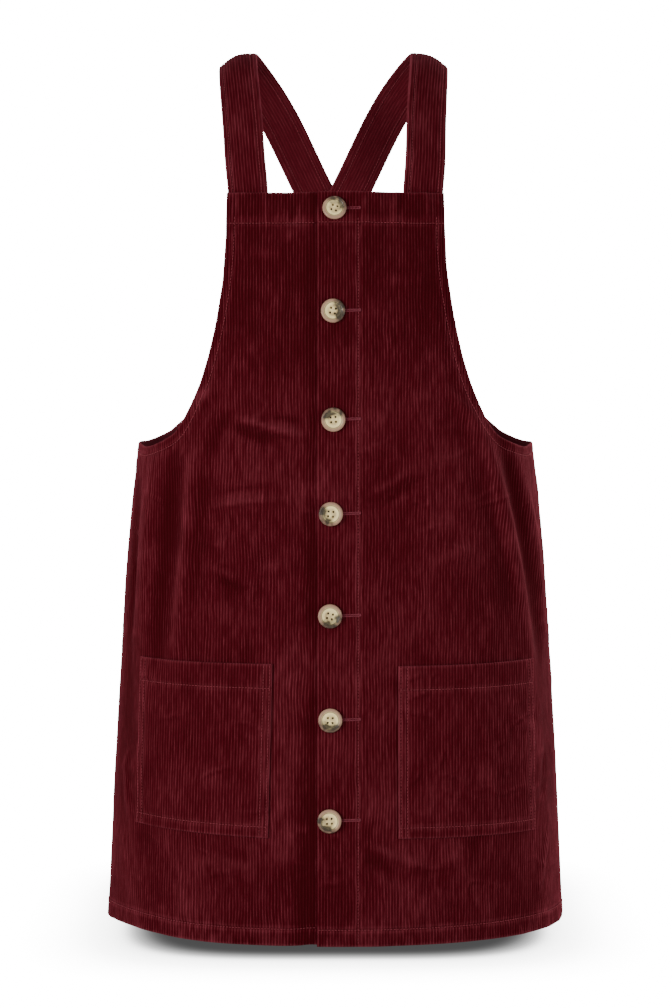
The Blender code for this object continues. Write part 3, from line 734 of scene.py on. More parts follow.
@dataclass
class Panel:
    """One body panel, cut with its wales parallel to the centre line.

    Attributes:
        name: Object name.
        node: CAD node that it replaces.
        slot: Material slot.
        face: Side of the dress it lies on.
        start: Across of its first edge, or None where that is the side seam.
        end: Across of its last edge, or None where that is the side seam.
        edge_names: Columns of `edge`.
        edge: Upper edge from the centre outwards: bib or back top, then armhole.
        layer: Lift of the whole panel at an across.
        band: Depth of the stitched band along the top edge.
        dense: Drops between which rows lie closer, for the creases.
        middle_rows: Rows between the edge bands.
        wale: Relief of the cloth.
        tuck: Whether the hem is drawn up a little beside the placket, with painted shade beside the
            placket's edge.
    """

    name: str
    node: str
    slot: Slot
    face: ClothFace
    start: float | None
    end: float | None
    edge: tuple[tuple[float, float], ...]
    layer: Callable[[Array], Array]
    band: float = 28.5
    edge_names: tuple[str, str] = ("across", "drop")
    dense: tuple[tuple[float, float], ...] = ((296.0, 500.0), (700.0, 775.0))
    middle_rows: int = 128
    wale: Wale = Wale(columns=4)
    tuck: bool = False
    foot_offsets: tuple[float, ...] = (0.0, 0.12, 0.4, 0.8, 1.3, 3.0, 7.0, 11.0, 13.6, 14.7, 15.3,
                                       15.7, 16.3, 17.4, 20.0)
    top_offsets: tuple[float, ...] = (0.0, 0.12, 0.4, 0.8, 1.3, 2.6, 5.0, 7.4, 8.1, 8.5, 8.9, 9.6,
                                      12.0, 20.0, 27.1, 28.0, 28.5, 29.0, 29.9, 32.5)
    side_offsets: tuple[float, ...] = (0.12, 0.4, 0.8, 1.2)
    armhole_row: float = 8.5
    hem_row: float = 15.5

    @property
    def from_back(self) -> bool:
        """Whether this is the back panel."""
        return self.face.from_back

    def side_reach(self, drop: float) -> float:
        """Length from the centre line to the side seam."""
        return float(self.face.form.side(np.array(drop), self.from_back))

    def foot(self, across: Array) -> Array:
        """Drop of the hem, lifted a little at the left of the front."""
        lift = 0.0 if self.from_back else 4.0 * bell((across + 215.0) / 58.0)
        tuck = 1.6 * bell((across + 20.0) / 14.0) if self.tuck else 0.0
        return HEM_DROP - lift - tuck

    def top(self, across: Array) -> Array:
        """Drop of the upper edge: neck, armhole, then down the side seam."""
        reach = np.abs(across)
        rows = np.array(self.edge)
        neck = np.where(reach <= rows[0, 0], rows[0, 1], smooth(reach, rows[:, 0], rows[:, 1]))
        seam = self.face.form.side_drop(reach, self.from_back)
        return np.where(reach > self.side_reach(UNDERARM_DROP),
                        np.maximum(seam, self.edge[-1][1]), neck)

    def armhole(self) -> Array:
        """Flat line of the armhole from the top corner to the side seam."""
        rows = np.array(self.edge)
        reach = np.unique(np.concatenate([
            np.linspace(rows[0, 0], rows[3, 0], 22),
            np.linspace(rows[3, 0], self.side_reach(UNDERARM_DROP), 48)]))
        return np.stack([reach, smooth(reach, rows[:, 0], rows[:, 1])], -1)

    def columns(self) -> Array:
        """Across of every mesh column."""
        reach = self.side_reach(HEM_DROP) - 0.25
        first = -reach if self.start is None else self.start
        last = reach if self.end is None else self.end
        places = self.wale.stations(first, last, self.side_offsets)
        corner = np.array([self.edge[0][0], self.edge[1][0]])
        corner = np.concatenate([-corner, corner])
        corner = corner[(corner > first + 1.5) & (corner < last - 1.5)]
        return np.unique(np.concatenate([places, corner]))

    def rows(self, top: Array, foot: Array) -> Array:
        """Drop of every grid point, from the hem (row 0) up to the top edge.

        Args:
            top: Upper edge of each column.
            foot: Hem of each column.

        Returns:
            Drops shaped (rows, columns).
        """
        low, high = np.array(self.foot_offsets), np.array(self.top_offsets)
        scale = np.minimum(1.0, (foot - top) / ((low[-1] + high[-1]) * 1.15))
        near_foot = foot - low[:, None] * scale
        near_top = top + high[::-1, None] * scale
        ruler = np.arange(60.0, 900.0, 0.5)
        weight = np.ones_like(ruler)
        for start, end in self.dense:
            weight += 1.6 * ease((ruler - start) / 20.0) * ease((end - ruler) / 20.0)
        count = np.concatenate([[0.0], np.cumsum(weight)[:-1]])
        share = np.linspace(0.0, 1.0, self.middle_rows + 2)[1:-1, None]
        from_count = np.interp(near_foot[-1], ruler, count)
        to_count = np.interp(near_top[0], ruler, count)
        middle = np.interp(from_count + share * (to_count - from_count), count, ruler)
        return np.concatenate([near_foot, middle, near_top])

    def distances(self, across: Array, drop: Array) -> dict[str, Array]:
        """Flat distances to the neck edge, armhole, seam, hem and the panel's own edges."""
        reach = np.abs(across)
        arm = distance_to_line(reach, drop, self.armhole())
        neck = np.where(reach <= self.edge[0][0], drop - self.edge[0][1], arm)
        seam = np.where(drop > UNDERARM_DROP - 8.0,
                        self.face.form.side(np.maximum(drop, UNDERARM_DROP), self.from_back)
                        - reach, 1e3)
        first = np.full(across.shape, 1e3) if self.start is None else across - self.start
        last = np.full(across.shape, 1e3) if self.end is None else self.end - across
        hem = self.foot(across) - drop
        return {"arm": arm, "neck": np.maximum(neck, 0.0), "seam": np.maximum(seam, 0.0),
                "hem": hem, "first": first, "last": last}

    def edge_distance(self, away: dict[str, Array]) -> Array:
        """Distance to the nearest cut edge of the panel."""
        nearest = np.minimum(away["arm"], away["neck"])
        for key in ("seam", "hem", "first", "last"):
            nearest = np.minimum(nearest, away[key])
        return np.maximum(nearest, 0.0)

    def relief(self, grain: Array, across: Array, drop: Array, away: dict[str, Array]) -> Relief:
        """Wales, stitched bands, puckers and rubbed edges, with painted highlight and shade on the
        folds, the bib and beside the placket.

        The lift is the wale's own height, plus a step where the cloth is doubled, less a groove
        at each row of stitches with small puckers beside it.

        Args:
            grain: Straight coordinate that the wales are counted by.
            across: Length round the cloth.
            drop: Length down the cloth.
            away: Distances from `distances`.

        Returns:
            The lift of both faces and the rubbing with painted highlight and shade.
        """
        neck_row = np.abs(drop - self.edge[0][1] - self.band)
        arm_row = np.abs(away["arm"] - self.armhole_row)
        hem_row = np.abs(away["hem"] - self.hem_row)
        on_neck = np.abs(across) < self.edge[0][0] + 6.0
        pull = (groove(hem_row) + groove(arm_row)
                + np.where(on_neck, groove(neck_row), 0.0))
        near = np.minimum(hem_row, arm_row)
        near = np.where(on_neck, np.minimum(near, neck_row), near)
        step = 0.34 * doubled(away["hem"], self.hem_row)
        step = step + np.where(on_neck, 0.32 * doubled(drop, self.edge[0][1] + self.band), 0)
        step = step + 0.22 * doubled(away["arm"], self.armhole_row)
        if self.start is not None:
            row = np.abs(across - PLACKET_STITCH)
            low = drop > PLACKET_TOP
            pull = pull + np.where(low, groove(row), 0.0)
            near = np.where(low, np.minimum(near, row), near)
            step = step + 0.22 * doubled(across, PLACKET_STITCH)
        # shaded: painted shadow in a strip beside the placket's edge, and a painted shaded band left
        # of the placket near the hem.
        if self.tuck:
            shaded = bell((across - PLACKET_EDGE + 3.6) / 3.0)
            shaded = shaded * (0.55 + 0.45 * lattice_noise(across / 30.0, drop / 42.0, 61.0))
            shaded = shaded + 0.5 * bell((across + 31.0) / 8.0) * ease((drop - 700.0) / 70.0)
        else:
            shaded = 0.0
        seam = away["seam"]
        pull = pull + 0.9 * bell(seam / 1.6)
        step = step + 0.35 * bell((seam - 6.0) / 4.5)
        pucker = 0.42 * bell(near / 6.0) * lattice_noise(across / 4.6, drop / 6.4, 11.0)
        pile = self.wale.relief(grain, drop) * (1.0 - 0.45 * np.clip(pull, 0, 1))
        edge = self.edge_distance(away)
        lap = np.where(away["first"] < 3.0, 0.3, 0.75) * (away["seam"] > 2.0)
        band = doubled(away["hem"], self.hem_row) + 0.6 * doubled(away["arm"], self.armhole_row)
        band = band + np.where(on_neck, 0.6 * doubled(drop, self.edge[0][1] + self.band), 0)
        rub = lap * bell(edge / 1.3) + 0.3 * bell((near - 1.8) / 1.4) + 0.03 * band
        wale_number = np.floor(grain / self.wale.pitch)
        rub = rub + 0.22 * np.clip(band, 0, 1) * lattice_noise(wale_number * 0.9, drop / 9.0, 53.0)
        pile = pile * (1.0 + 0.3 * np.clip(band, 0, 1))
        # Painted highlight on fold ridges and painted shade in fold troughs.
        rub = rub + 0.22 * np.clip(self.face.folds.height(across, drop) / 2.0, -1.5, 0.8)
        # Painted shade: darker over the bib, above drop 340.
        rub = rub - 0.16 * ease((340.0 - drop) / 130.0)
        # Painted highlight and shade on fold sides by their slope, less the painted shadow beside
        # the placket.
        rub = rub + 0.6 * np.clip(self.face.folds.lean(across, drop), -0.7, 0.5) - 0.62 * shaded
        return Relief(outer=pile + step - 0.42 * np.clip(pull, 0, 1) + pucker,
                      inner=0.28 * ease(self.hem_row - away["hem"])
                      + 0.2 * ease(self.armhole_row - away["arm"]),
                      rub=np.clip(rub, -0.6, 1.0))

    def build(self, finish: bpy.types.Material) -> None:
        """Lay the panel on the form as a closed shell, with its cut coordinates on every point."""
        columns = self.columns()
        top, foot = self.top(columns), self.foot(columns)
        drop = self.rows(top, foot)
        grain = np.broadcast_to(columns, drop.shape)
        wander = (0.85 * lattice_noise(grain / 15.0, drop / 31.0, 17.0)
                  + 0.3 * lattice_noise(grain / 4.8, drop / 12.0, 19.0))
        gather = np.abs(drop - self.edge[0][1] - self.band) / 11.0
        gather = np.where(np.abs(grain) < self.edge[0][0] + 8.0, bell(gather), 0.0)
        gather = gather + 0.5 * bell((foot - drop - self.hem_row) / 9.0)
        wander = wander + gather * lattice_noise(grain / 8.0, drop / 13.0, 29.0)
        inward = np.minimum(grain - columns[0], columns[-1] - grain)
        inward = np.minimum(inward, (drop - top) / 8.0)
        across = grain + wander * ease(inward / 12.0)
        away = self.distances(across, drop)
        relief = self.relief(grain, across, drop, away)
        edge = self.edge_distance(away)
        edge[0], edge[-1], edge[:, 0], edge[:, -1] = 0.0, 0.0, 0.0, 0.0
        full = rounding(edge, EDGE_RADIUS)
        lift = self.layer(across)
        outer = self.face.at(across, drop, lift + (OUTER_LIFT + relief.outer) * full)
        rows, places = thinned(len(drop), 7, 8, 4), thinned(len(columns), 6, 6, 10)
        pick = np.ix_(rows, places)
        sink = (self.face.folds.height(across[pick], drop[pick])
                - self.face.folds.hollow(across[pick], drop[pick]))
        inner = self.face.at(across[pick], drop[pick], lift[pick] - (
            CLOTH / 2 + relief.inner[pick] + sink) * full[pick])
        shell = ShellMesh(outer, inner, rows, places)
        flat = np.stack([(across - columns[0]) / 1250.0, (HEM_DROP + 6.0 - drop) / 1250.0], -1)
        under = flat[pick] + UNDER_SHIFT
        turned = ease((self.armhole_row - away["arm"][pick]) / 1.5)
        attributes = cloth_attributes(shell, grain, drop, relief.rub, rows, places, turned)
        piece = shell.build(self.name, attributes, flat, under)
        dress(piece, finish)
        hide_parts(self.node)
        width, length = columns[-1] - columns[0], HEM_DROP - top.min()
        width * MM
        length * MM
        float(np.sum((foot - top) * np.gradient(columns))) * MM * MM
        LOG.info("%s: %d columns, %d rows", self.name, len(columns), len(drop))

    def lay(self, across: Array, drop: Array, out: float = 0.7) -> tuple[Array, Array]:
        """Route on the outer face, with its normals."""
        across, drop = np.broadcast_arrays(across, drop)
        _, normals = self.face.form.frame_at(across, drop, self.from_back)
        return self.face.at(across, drop, self.layer(across) + OUTER_LIFT + out), normals

    def sew(self, thread: Stitching) -> None:
        """Topstitch the band, the armholes, the hem and the placket."""
        reach = self.side_reach(HEM_DROP) - 2.0
        first = -reach if self.start is None else self.start + 0.8
        last = reach if self.end is None else self.end - 0.8
        hem = np.arange(first, last, 1.5)
        if self.tuck:
            hem = hem[hem < PLACKET_EDGE - 1.0]
        thread.run(*self.lay(hem, self.foot(hem) - self.hem_row))
        band = np.arange(max(first, -self.edge[0][0] - 0.2), min(last, self.edge[0][0] + 0.2), 1.5)
        if self.tuck:
            band = band[band < PLACKET_EDGE - 1.0]
        thread.run(*self.lay(band, self.edge[0][1] + self.band + 0 * band))
        line = self.armhole()
        along = unit(np.gradient(line, axis=0))
        inside = line + np.stack([-along[:, 1], along[:, 0]], -1) * self.armhole_row
        inside = inside[inside[:, 1] > self.edge[0][1] + 0.8]
        inside = inside[np.concatenate([[True], np.hypot(*np.diff(inside, axis=0).T) > 0.3])]
        walked = walked_lengths(inside)
        fine = np.arange(0.0, walked[-1], 1.5)
        route = np.stack([np.interp(fine, walked, inside[:, k]) for k in range(2)], -1)
        for side in (-1.0, 1.0):
            if (side < 0 and self.start is None) or (side > 0 and self.end is None):
                thread.run(*self.lay(side * route[:, 0], route[:, 1]))
        if self.start is not None:
            drops = np.arange(PLACKET_TOP, HEM_DROP - 1.0, 1.5)
            thread.run(*self.lay(np.full(len(drops), PLACKET_STITCH), drops))


FRONT_EDGE = ((101.3, 126.0), (101.9, 165.0), (103.2, 188.0), (107.6, 222.0), (116.4, 264.0),
              (126.0, 296.0), (136.0, 319.0), (146.0, 336.5), (156.0, 346.5), (166.0, 352.0),
              (178.0, 356.5), (190.0, 359.5), (203.0, 361.0), (218.0, 359.5), (235.0, 358.5),
              (300.0, 358.5))
BACK_EDGE = ((80.0, 255.0), (82.5, 268.0), (88.0, 284.0), (98.0, 301.0), (113.0, 316.0),
             (132.0, 328.0), (152.0, 338.0), (162.0, 345.0), (173.0, 351.8), (184.0, 355.5),
             (195.4, 358.0), (212.0, 359.5), (230.0, 359.0), (248.0, 358.5), (300.0, 358.5))


# ------------------------------------------------------------------ pockets
@dataclass
class Pocket:
    """A patch pocket: four corners on the front, its wales following its own sides.

    Attributes:
        inner_top: Across of the upper corner nearer the placket.
        inner_foot: Across of the lower corner nearer the placket.
        outer_top: Across of the upper corner nearer the side.
        outer_foot: Across of the lower corner nearer the side.
        drop: Drop of the mouth.
        foot_inner: Drop of the lower corner nearer the placket.
        foot_outer: Drop of the lower corner nearer the side.
    """

    name: str
    node: str
    face: ClothFace
    inner_top: float
    inner_foot: float
    outer_top: float
    outer_foot: float
    drop: float
    foot_inner: float
    foot_outer: float
    band: float = 22.0
    foot_row: float = 10.0
    side_rows: tuple[float, float] = (2.2, 8.0)
    wale: Wale = Wale(columns=4)
    row_step: float = 2.6

    @property
    def width(self) -> float:
        """Mean width between the sides."""
        return (abs(self.outer_top - self.inner_top) + abs(self.outer_foot - self.inner_foot)) / 2

    @property
    def depth(self) -> float:
        """Mean depth from the mouth to the foot."""
        return (self.foot_inner + self.foot_outer) / 2 - self.drop

    def place(self, grain: Array, down: Array) -> tuple[Array, Array]:
        """Across and drop of a place on the flat pocket, by blending its four corners.

        Args:
            grain: Length from the edge at the smaller across.
            down: Length from the mouth.

        Returns:
            Across and drop.
        """
        share, fall = grain / self.width, down / self.depth
        flip = self.outer_top < self.inner_top
        start_top, end_top = (self.outer_top, self.inner_top) if flip else (
            self.inner_top, self.outer_top)
        start_foot, end_foot = (self.outer_foot, self.inner_foot) if flip else (
            self.inner_foot, self.outer_foot)
        foot_start, foot_end = (self.foot_outer, self.foot_inner) if flip else (
            self.foot_inner, self.foot_outer)
        start = start_top + (start_foot - start_top) * fall
        end = end_top + (end_foot - end_top) * fall
        foot = foot_start + (foot_end - foot_start) * share
        return start + (end - start) * share, self.drop + (foot - self.drop) * fall

    def lift(self, grain: Array, down: Array) -> Array:
        """The pocket lies on the front and stands off it a little in the upper middle."""
        share, fall = grain / self.width, down / self.depth
        body = np.clip(np.sin(math.pi * share), 0, 1) ** 0.8
        return CLOTH + GAP + 0.9 * body * (1.0 - fall) * ease(1.0 - fall)

    def build(self, finish: bpy.types.Material) -> None:
        """Lay the pocket on the front as a closed shell, with its cut coordinates on every point."""
        wide = self.wale.stations(0.0, self.width, (0.12, 0.4, 0.8, 1.2))
        near = np.array([0.0, 0.12, 0.4, 0.8, 1.2])
        down = np.unique(np.concatenate([
            near, self.depth - near, self.band + np.array([-0.9, -0.35, 0.0, 0.35, 0.9]),
            self.depth - self.foot_row + np.array([-0.9, -0.35, 0.0, 0.35, 0.9]),
            np.arange(3.0, self.band - 1.5, self.row_step),
            np.arange(self.band + 2.4, self.depth - self.foot_row - 1.5, self.row_step),
            np.arange(self.depth - self.foot_row + 2.4, self.depth - 1.6, self.row_step)]))[::-1]
        grain, fall = np.meshgrid(wide, down)
        across, drop = self.place(grain, fall)
        side = np.minimum(grain, self.width - grain)
        foot = self.depth - fall
        edge = np.minimum(np.minimum(side, fall), foot)
        rows = [np.abs(fall - self.band), np.abs(foot - self.foot_row)]
        low = fall > 0.0
        rows += [np.where(low, np.abs(side - row), 9.0) for row in self.side_rows]
        pull = np.clip(sum(groove(row) for row in rows), 0, 1)
        close = np.minimum.reduce(rows)
        step = (0.34 * doubled(fall, self.band) + 0.3 * doubled(foot, self.foot_row)
                + 0.24 * doubled(side, self.side_rows[1]))
        pucker = 0.42 * bell(close / 5.0) * lattice_noise(across / 4.0, drop / 5.0, 23.0)
        pile = self.wale.relief(grain + 0.9, drop) * (1.0 - 0.45 * pull)
        # Rubbed edges and stitch rows, with painted highlight and shade from the folds' height and
        # slope.
        rub = np.clip(0.5 * bell(edge / 1.5) + 0.3 * bell((close - 1.5) / 1.2)
                      + 0.10 * np.clip(self.face.folds.height(across, drop) / 2.0, -1.0, 1.4)
                      + 0.6 * np.clip(self.face.folds.lean(across, drop), -0.7, 0.5),
                      -0.6, 1.0)
        full = rounding(edge, EDGE_RADIUS)
        base = self.lift(grain, fall)
        outer = self.face.at(across, drop,
                             base + (OUTER_LIFT + pile + step - 0.45 * pull + pucker) * full)
        kept, places = thinned(len(down), 6, 6, 6), thinned(len(wide), 6, 6, 12)
        pick = np.ix_(kept, places)
        sink = (self.face.folds.height(across[pick], drop[pick])
                - self.face.folds.hollow(across[pick], drop[pick]))
        inner = self.face.at(across[pick], drop[pick],
                             base[pick] - (CLOTH / 2 - 0.1 + sink) * full[pick])
        inner[0], inner[-1] = outer[0, places], outer[-1, places]
        shell = ShellMesh(outer, inner, kept, places)
        flat = np.stack([grain / 330.0, (self.depth - fall) / 330.0], -1)
        attributes = cloth_attributes(shell, grain + 0.9, drop, rub, kept, places)
        piece = shell.build(self.name, attributes, flat, flat[pick] + UNDER_SHIFT)
        dress(piece, finish)
        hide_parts(self.node)
        self.width * MM
        self.depth * MM
        LOG.info("%s: %d columns, %d rows", self.name, len(wide), len(down))

    def sew(self, thread: Stitching) -> None:
        """Topstitch the mouth band, the foot and two rows down each side."""

        def run(grain: Array, down: Array) -> None:
            """Sew one row given on the flat pocket."""
            grain, down = np.broadcast_arrays(grain, down)
            across, drop = self.place(grain, down)
            _, normals = self.face.form.frame_at(across, drop, False)
            out = self.lift(grain, down) + OUTER_LIFT + 0.64
            thread.run(self.face.at(across, drop, out), normals)

        wide = np.arange(1.0, self.width - 1.0, 1.5)
        run(wide, np.array(self.band))
        run(wide, np.array(self.depth - self.foot_row))
        tall = np.arange(1.0, self.depth - 1.0, 1.5)
        for row in self.side_rows:
            run(np.array(row), tall)
            run(np.array(self.width - row), tall)


# ------------------------------------------------------------------ straps
@dataclass
class Strap:
    """A doubled strap from behind the bib, over the shoulder and across to behind the back.

    Attributes:
        side: -1 for the left strap, 1 for the right one.
        under_wale: How high the wales of the rubbed-down underside are, as a share.
        under_plain: How far the underside shows the plain ground of the cloth.
        path_names: Columns of `path`.
        path: Left strap from the bib's edge to the back's: centre, outward direction, camber.
        nearer: How far the right strap lies nearer the middle, on top and behind.
    """

    name: str
    node: str
    front: ClothFace
    back: ClothFace
    side: float
    width: float = 38.0
    thickness: float = 3.0
    path_names: tuple[str, ...] = ("x", "y", "z", "out_x", "out_y", "out_z", "camber")
    path: tuple[tuple[float, ...], ...] = (
        (-83.5, -81.5, -95.0, -0.20, -0.95, 0.30, 0.4),
        (-86.0, -68.0, -63.0, -0.24, -0.85, 0.55, 1.2),
        (-89.0, -51.0, -33.0, -0.28, -0.62, 0.78, 2.4),
        (-91.5, -28.0, -9.0, -0.32, -0.30, 0.90, 4.0),
        (-92.0, 0.0, 1.5, -0.34, 0.05, 0.94, 5.0),
        (-87.5, 25.0, -2.0, -0.32, 0.35, 0.86, 4.4),
        (-77.5, 45.0, -14.5, -0.26, 0.66, 0.70, 3.0),
        (-65.0, 60.5, -32.0, -0.18, 0.84, 0.58, 1.8),
        (-52.0, 73.0, -54.0, -0.10, 0.93, 0.45, 1.0),
        (-40.0, 83.0, -78.0, -0.05, 1.0, 0.36, 0.4),
        (-27.5, 91.0, -104.0, 0.0, 1.0, 0.26, 0.0),
        (-13.0, 97.0, -133.0, 0.0, 1.0, 0.175, 0.0),
        (0.0, 101.0, -160.0, 0.0, 1.0, 0.125, 0.0),
        (13.5, 104.0, -187.0, 0.0, 1.0, 0.08, 0.0),
        (29.0, 105.5, -218.0, 0.02, 1.0, 0.03, 0.0),
    )
    front_across: float = -82.0
    front_end: float = 151.0
    front_camber: float = 1.1
    back_across: float = 47.0
    back_lean: float = 12.0
    back_end: float = 281.0
    back_camber: float = 0.7
    strap_gap: float = 0.5
    crossing: float = -160.0
    crossing_gap: float = 0.6
    crossing_reach: float = 52.0
    crossing_fade: float = 30.0
    nearer: tuple[float, float] = (4.0, 6.5)
    step: float = 4.0
    wale: Wale = Wale(height=0.46, columns=4)
    under_wale: float = 0.35
    under_plain: float = 0.42
    rows_outer: float = 5.6
    rows_under: float = 7.8

    def table(self) -> Array:
        """Path rows with the two hidden ends, which follow the bib and the back."""
        inward = -(CLOTH / 2 + self.strap_gap + self.thickness / 2)
        ends = []
        for face, across, drop, camber in (
                (self.front, self.front_across, self.front_end, self.front_camber),
                (self.front, self.front_across, BIB_DROP, self.front_camber),
                (self.back, self.back_across, BACK_DROP, self.back_camber),
                (self.back, self.back_across + self.back_lean, self.back_end, self.back_camber)):
            place = np.array([across]), np.array([drop])
            point = face.at(*place, np.array([inward - camber]))
            _, normal = face.form.frame_at(*place, face.from_back)
            ends.append([*point[0], *normal[0], camber])
        return np.array([*ends[:2], *self.path, *ends[2:]])

    def stations(self) -> Array:
        """Smooth stations along the strap: a cubic through the table's rows.

        Slopes are the centred differences of neighbouring rows.  Where the two straps cross
        behind, one is moved out and the other in by half the thickness and gap.
        """
        table = self.table()
        walked = walked_lengths(table[:, :3])
        at = np.linspace(0.0, walked[-1], int(round(walked[-1] / self.step)) + 1)
        slope = np.gradient(table, walked, axis=0)
        cell = np.clip(np.searchsorted(walked, at, side="right") - 1, 0, len(walked) - 2)
        run = (walked[cell + 1] - walked[cell])[:, None]
        t = ((at - walked[cell]) / run[:, 0])[:, None]
        rows = ((1 + 2 * t) * (1 - t) ** 2 * table[cell] + t * (1 - t) ** 2 * run * slope[cell]
                + t * t * (3 - 2 * t) * table[cell + 1] - t * t * (1 - t) * run * slope[cell + 1])
        behind = rows[:, 1] > 0
        fade = 1.0 - ease((np.abs(rows[:, 2] - self.crossing) - self.crossing_reach)
                          / self.crossing_fade)
        rows[:, 1] += np.where(behind, -self.side * (self.thickness + self.crossing_gap) / 2
                               * fade, 0.0)
        if self.side > 0:
            rising = ease((rows[:, 2] + BIB_DROP) / BIB_DROP)
            falling = ease((rows[:, 2] + BACK_DROP) / (BACK_DROP + self.crossing))
            back_share = ease(rows[:, 1] / 60.0)
            rows[:, 0] += np.where(behind, self.nearer[0] * (1.0 - back_share)
                                   + self.nearer[1] * back_share * falling,
                                   self.nearer[0] * rising)
        rows[:, 0] *= -self.side
        rows[:, 3] *= -self.side
        return rows

    def sections(self) -> tuple[Array, Array, Array, Array]:
        """Centre, outward and sideways directions, and camber at every station."""
        rows = self.stations()
        centre, out, camber = rows[:, :3], rows[:, 3:6], rows[:, 6]
        along = unit(np.gradient(centre, axis=0))
        out = unit(out - along * np.sum(out * along, axis=1, keepdims=True))
        return centre, out, np.cross(out, along), camber

    def place(self, share: Array, row: Array, out_lift: Array) -> tuple[Array, Array]:
        """Point of the strap: centre + share x half width sideways + (camber bow + lift) out.

        Args:
            share: From -1 at one edge to 1 at the other.
            row: Station number, whole or not.
            out_lift: Lift over the middle surface.

        Returns:
            Points and outward directions.
        """
        centre, out, wide, camber = self.sections()
        at = np.arange(len(centre))

        def read(values: Array) -> Array:
            """A station value at any row."""
            return np.stack([np.interp(row, at, values[:, k]) for k in range(3)], -1)

        bow = np.interp(row, at, camber) * (1.0 - share ** 2)
        outward = unit(read(out))
        return (read(centre) + read(wide) * (share * self.width / 2)[..., None]
                + outward * (bow + out_lift)[..., None]), outward

    def build(self, finish: bpy.types.Material) -> None:
        """Sweep the strap as a closed shell with wales on both faces."""
        half = self.width / 2
        places = self.wale.stations(-half, half, (0.15, 0.5, 1.0, 1.5))
        count = len(self.stations())
        ends = np.array([0.0, 0.05, 0.15, 0.3])
        rows = np.unique(np.concatenate([ends, count - 1 - ends, np.arange(1.0, count - 1.5)]))
        across, row = np.meshgrid(places, rows)
        along = row * self.step
        total = (count - 1) * self.step
        side = half - np.abs(across)
        edge = np.minimum(side, np.minimum(along, total - along))
        full = rounding(edge, 1.7)
        wobble = 0.35 * lattice_noise(along / 24.0, across / 16.0, 31.0 + self.side)
        faces = []
        crinkle = 0.14 * lattice_noise(along / 4.6, across / 15.0, 43.0)
        for sign, line, deep in ((1.0, self.rows_outer, 1.0),
                                 (-1.0, self.rows_under, self.under_wale)):
            row_gap = np.abs(side - line)
            pull = groove(row_gap)
            pile = deep * self.wale.relief(across + 0.7, along) * (1.0 - 0.45 * pull)
            puff = 0.3 * ease((line - side) / 1.6)
            pucker = 0.22 * bell(row_gap / 4.0) * lattice_noise(along / 4.4, across / 6.0, 41.0)
            lift = (self.thickness / 2 - 0.3 + pile + puff - 0.5 * pull + pucker
                    + deep * crinkle) * full
            points, _ = self.place(across / half, row, sign * lift + wobble * full)
            faces.append(points)
            if sign > 0:
                rub = np.clip(0.8 * bell(edge / 1.6) + 0.24 * bell((row_gap - 1.5) / 1.2)
                              + 0.2 * lattice_noise(along / 19.0, across / 11.0, 3.0), 0, 1)
        whole, wide = np.arange(len(rows)), np.arange(len(places))
        shell = ShellMesh(faces[0], faces[1], whole, wide)
        flat = np.stack([(across + half) / 660.0, along / 660.0], -1)
        cut = np.stack([across + 0.7, along, 0 * along], -1) * MM
        attributes = {"cut": shell.spread(cut, cut), "rub": shell.spread(rub, rub * 0.4),
                      "inside": shell.spread(0 * rub, 0 * rub + self.under_plain)}
        piece = shell.build(self.name, attributes, flat, flat + np.array([0.2, 0.0]))
        dress(piece, finish)
        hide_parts(self.node)
        self.width * MM
        total * MM
        "panel_front_left" if self.side < 0 else "panel_front_right"
        LOG.info("%s: %d columns, %d rows, %.0f mm long", self.name, len(places), len(rows), total)

    def sew(self, thread: Stitching) -> None:
        """Topstitch both edges of both faces."""
        count = len(self.stations())
        row = np.arange(0.2, count - 1.2, 0.35)
        for sign, line in ((1.0, self.rows_outer), (-1.0, self.rows_under)):
            for edge in (-1.0, 1.0):
                share = np.full(len(row), edge * (1.0 - line / (self.width / 2)))
                lift = np.full(len(row), sign * (self.thickness / 2 + 0.16))
                points, outward = self.place(share, row, lift)
                thread.run(points, outward * sign)


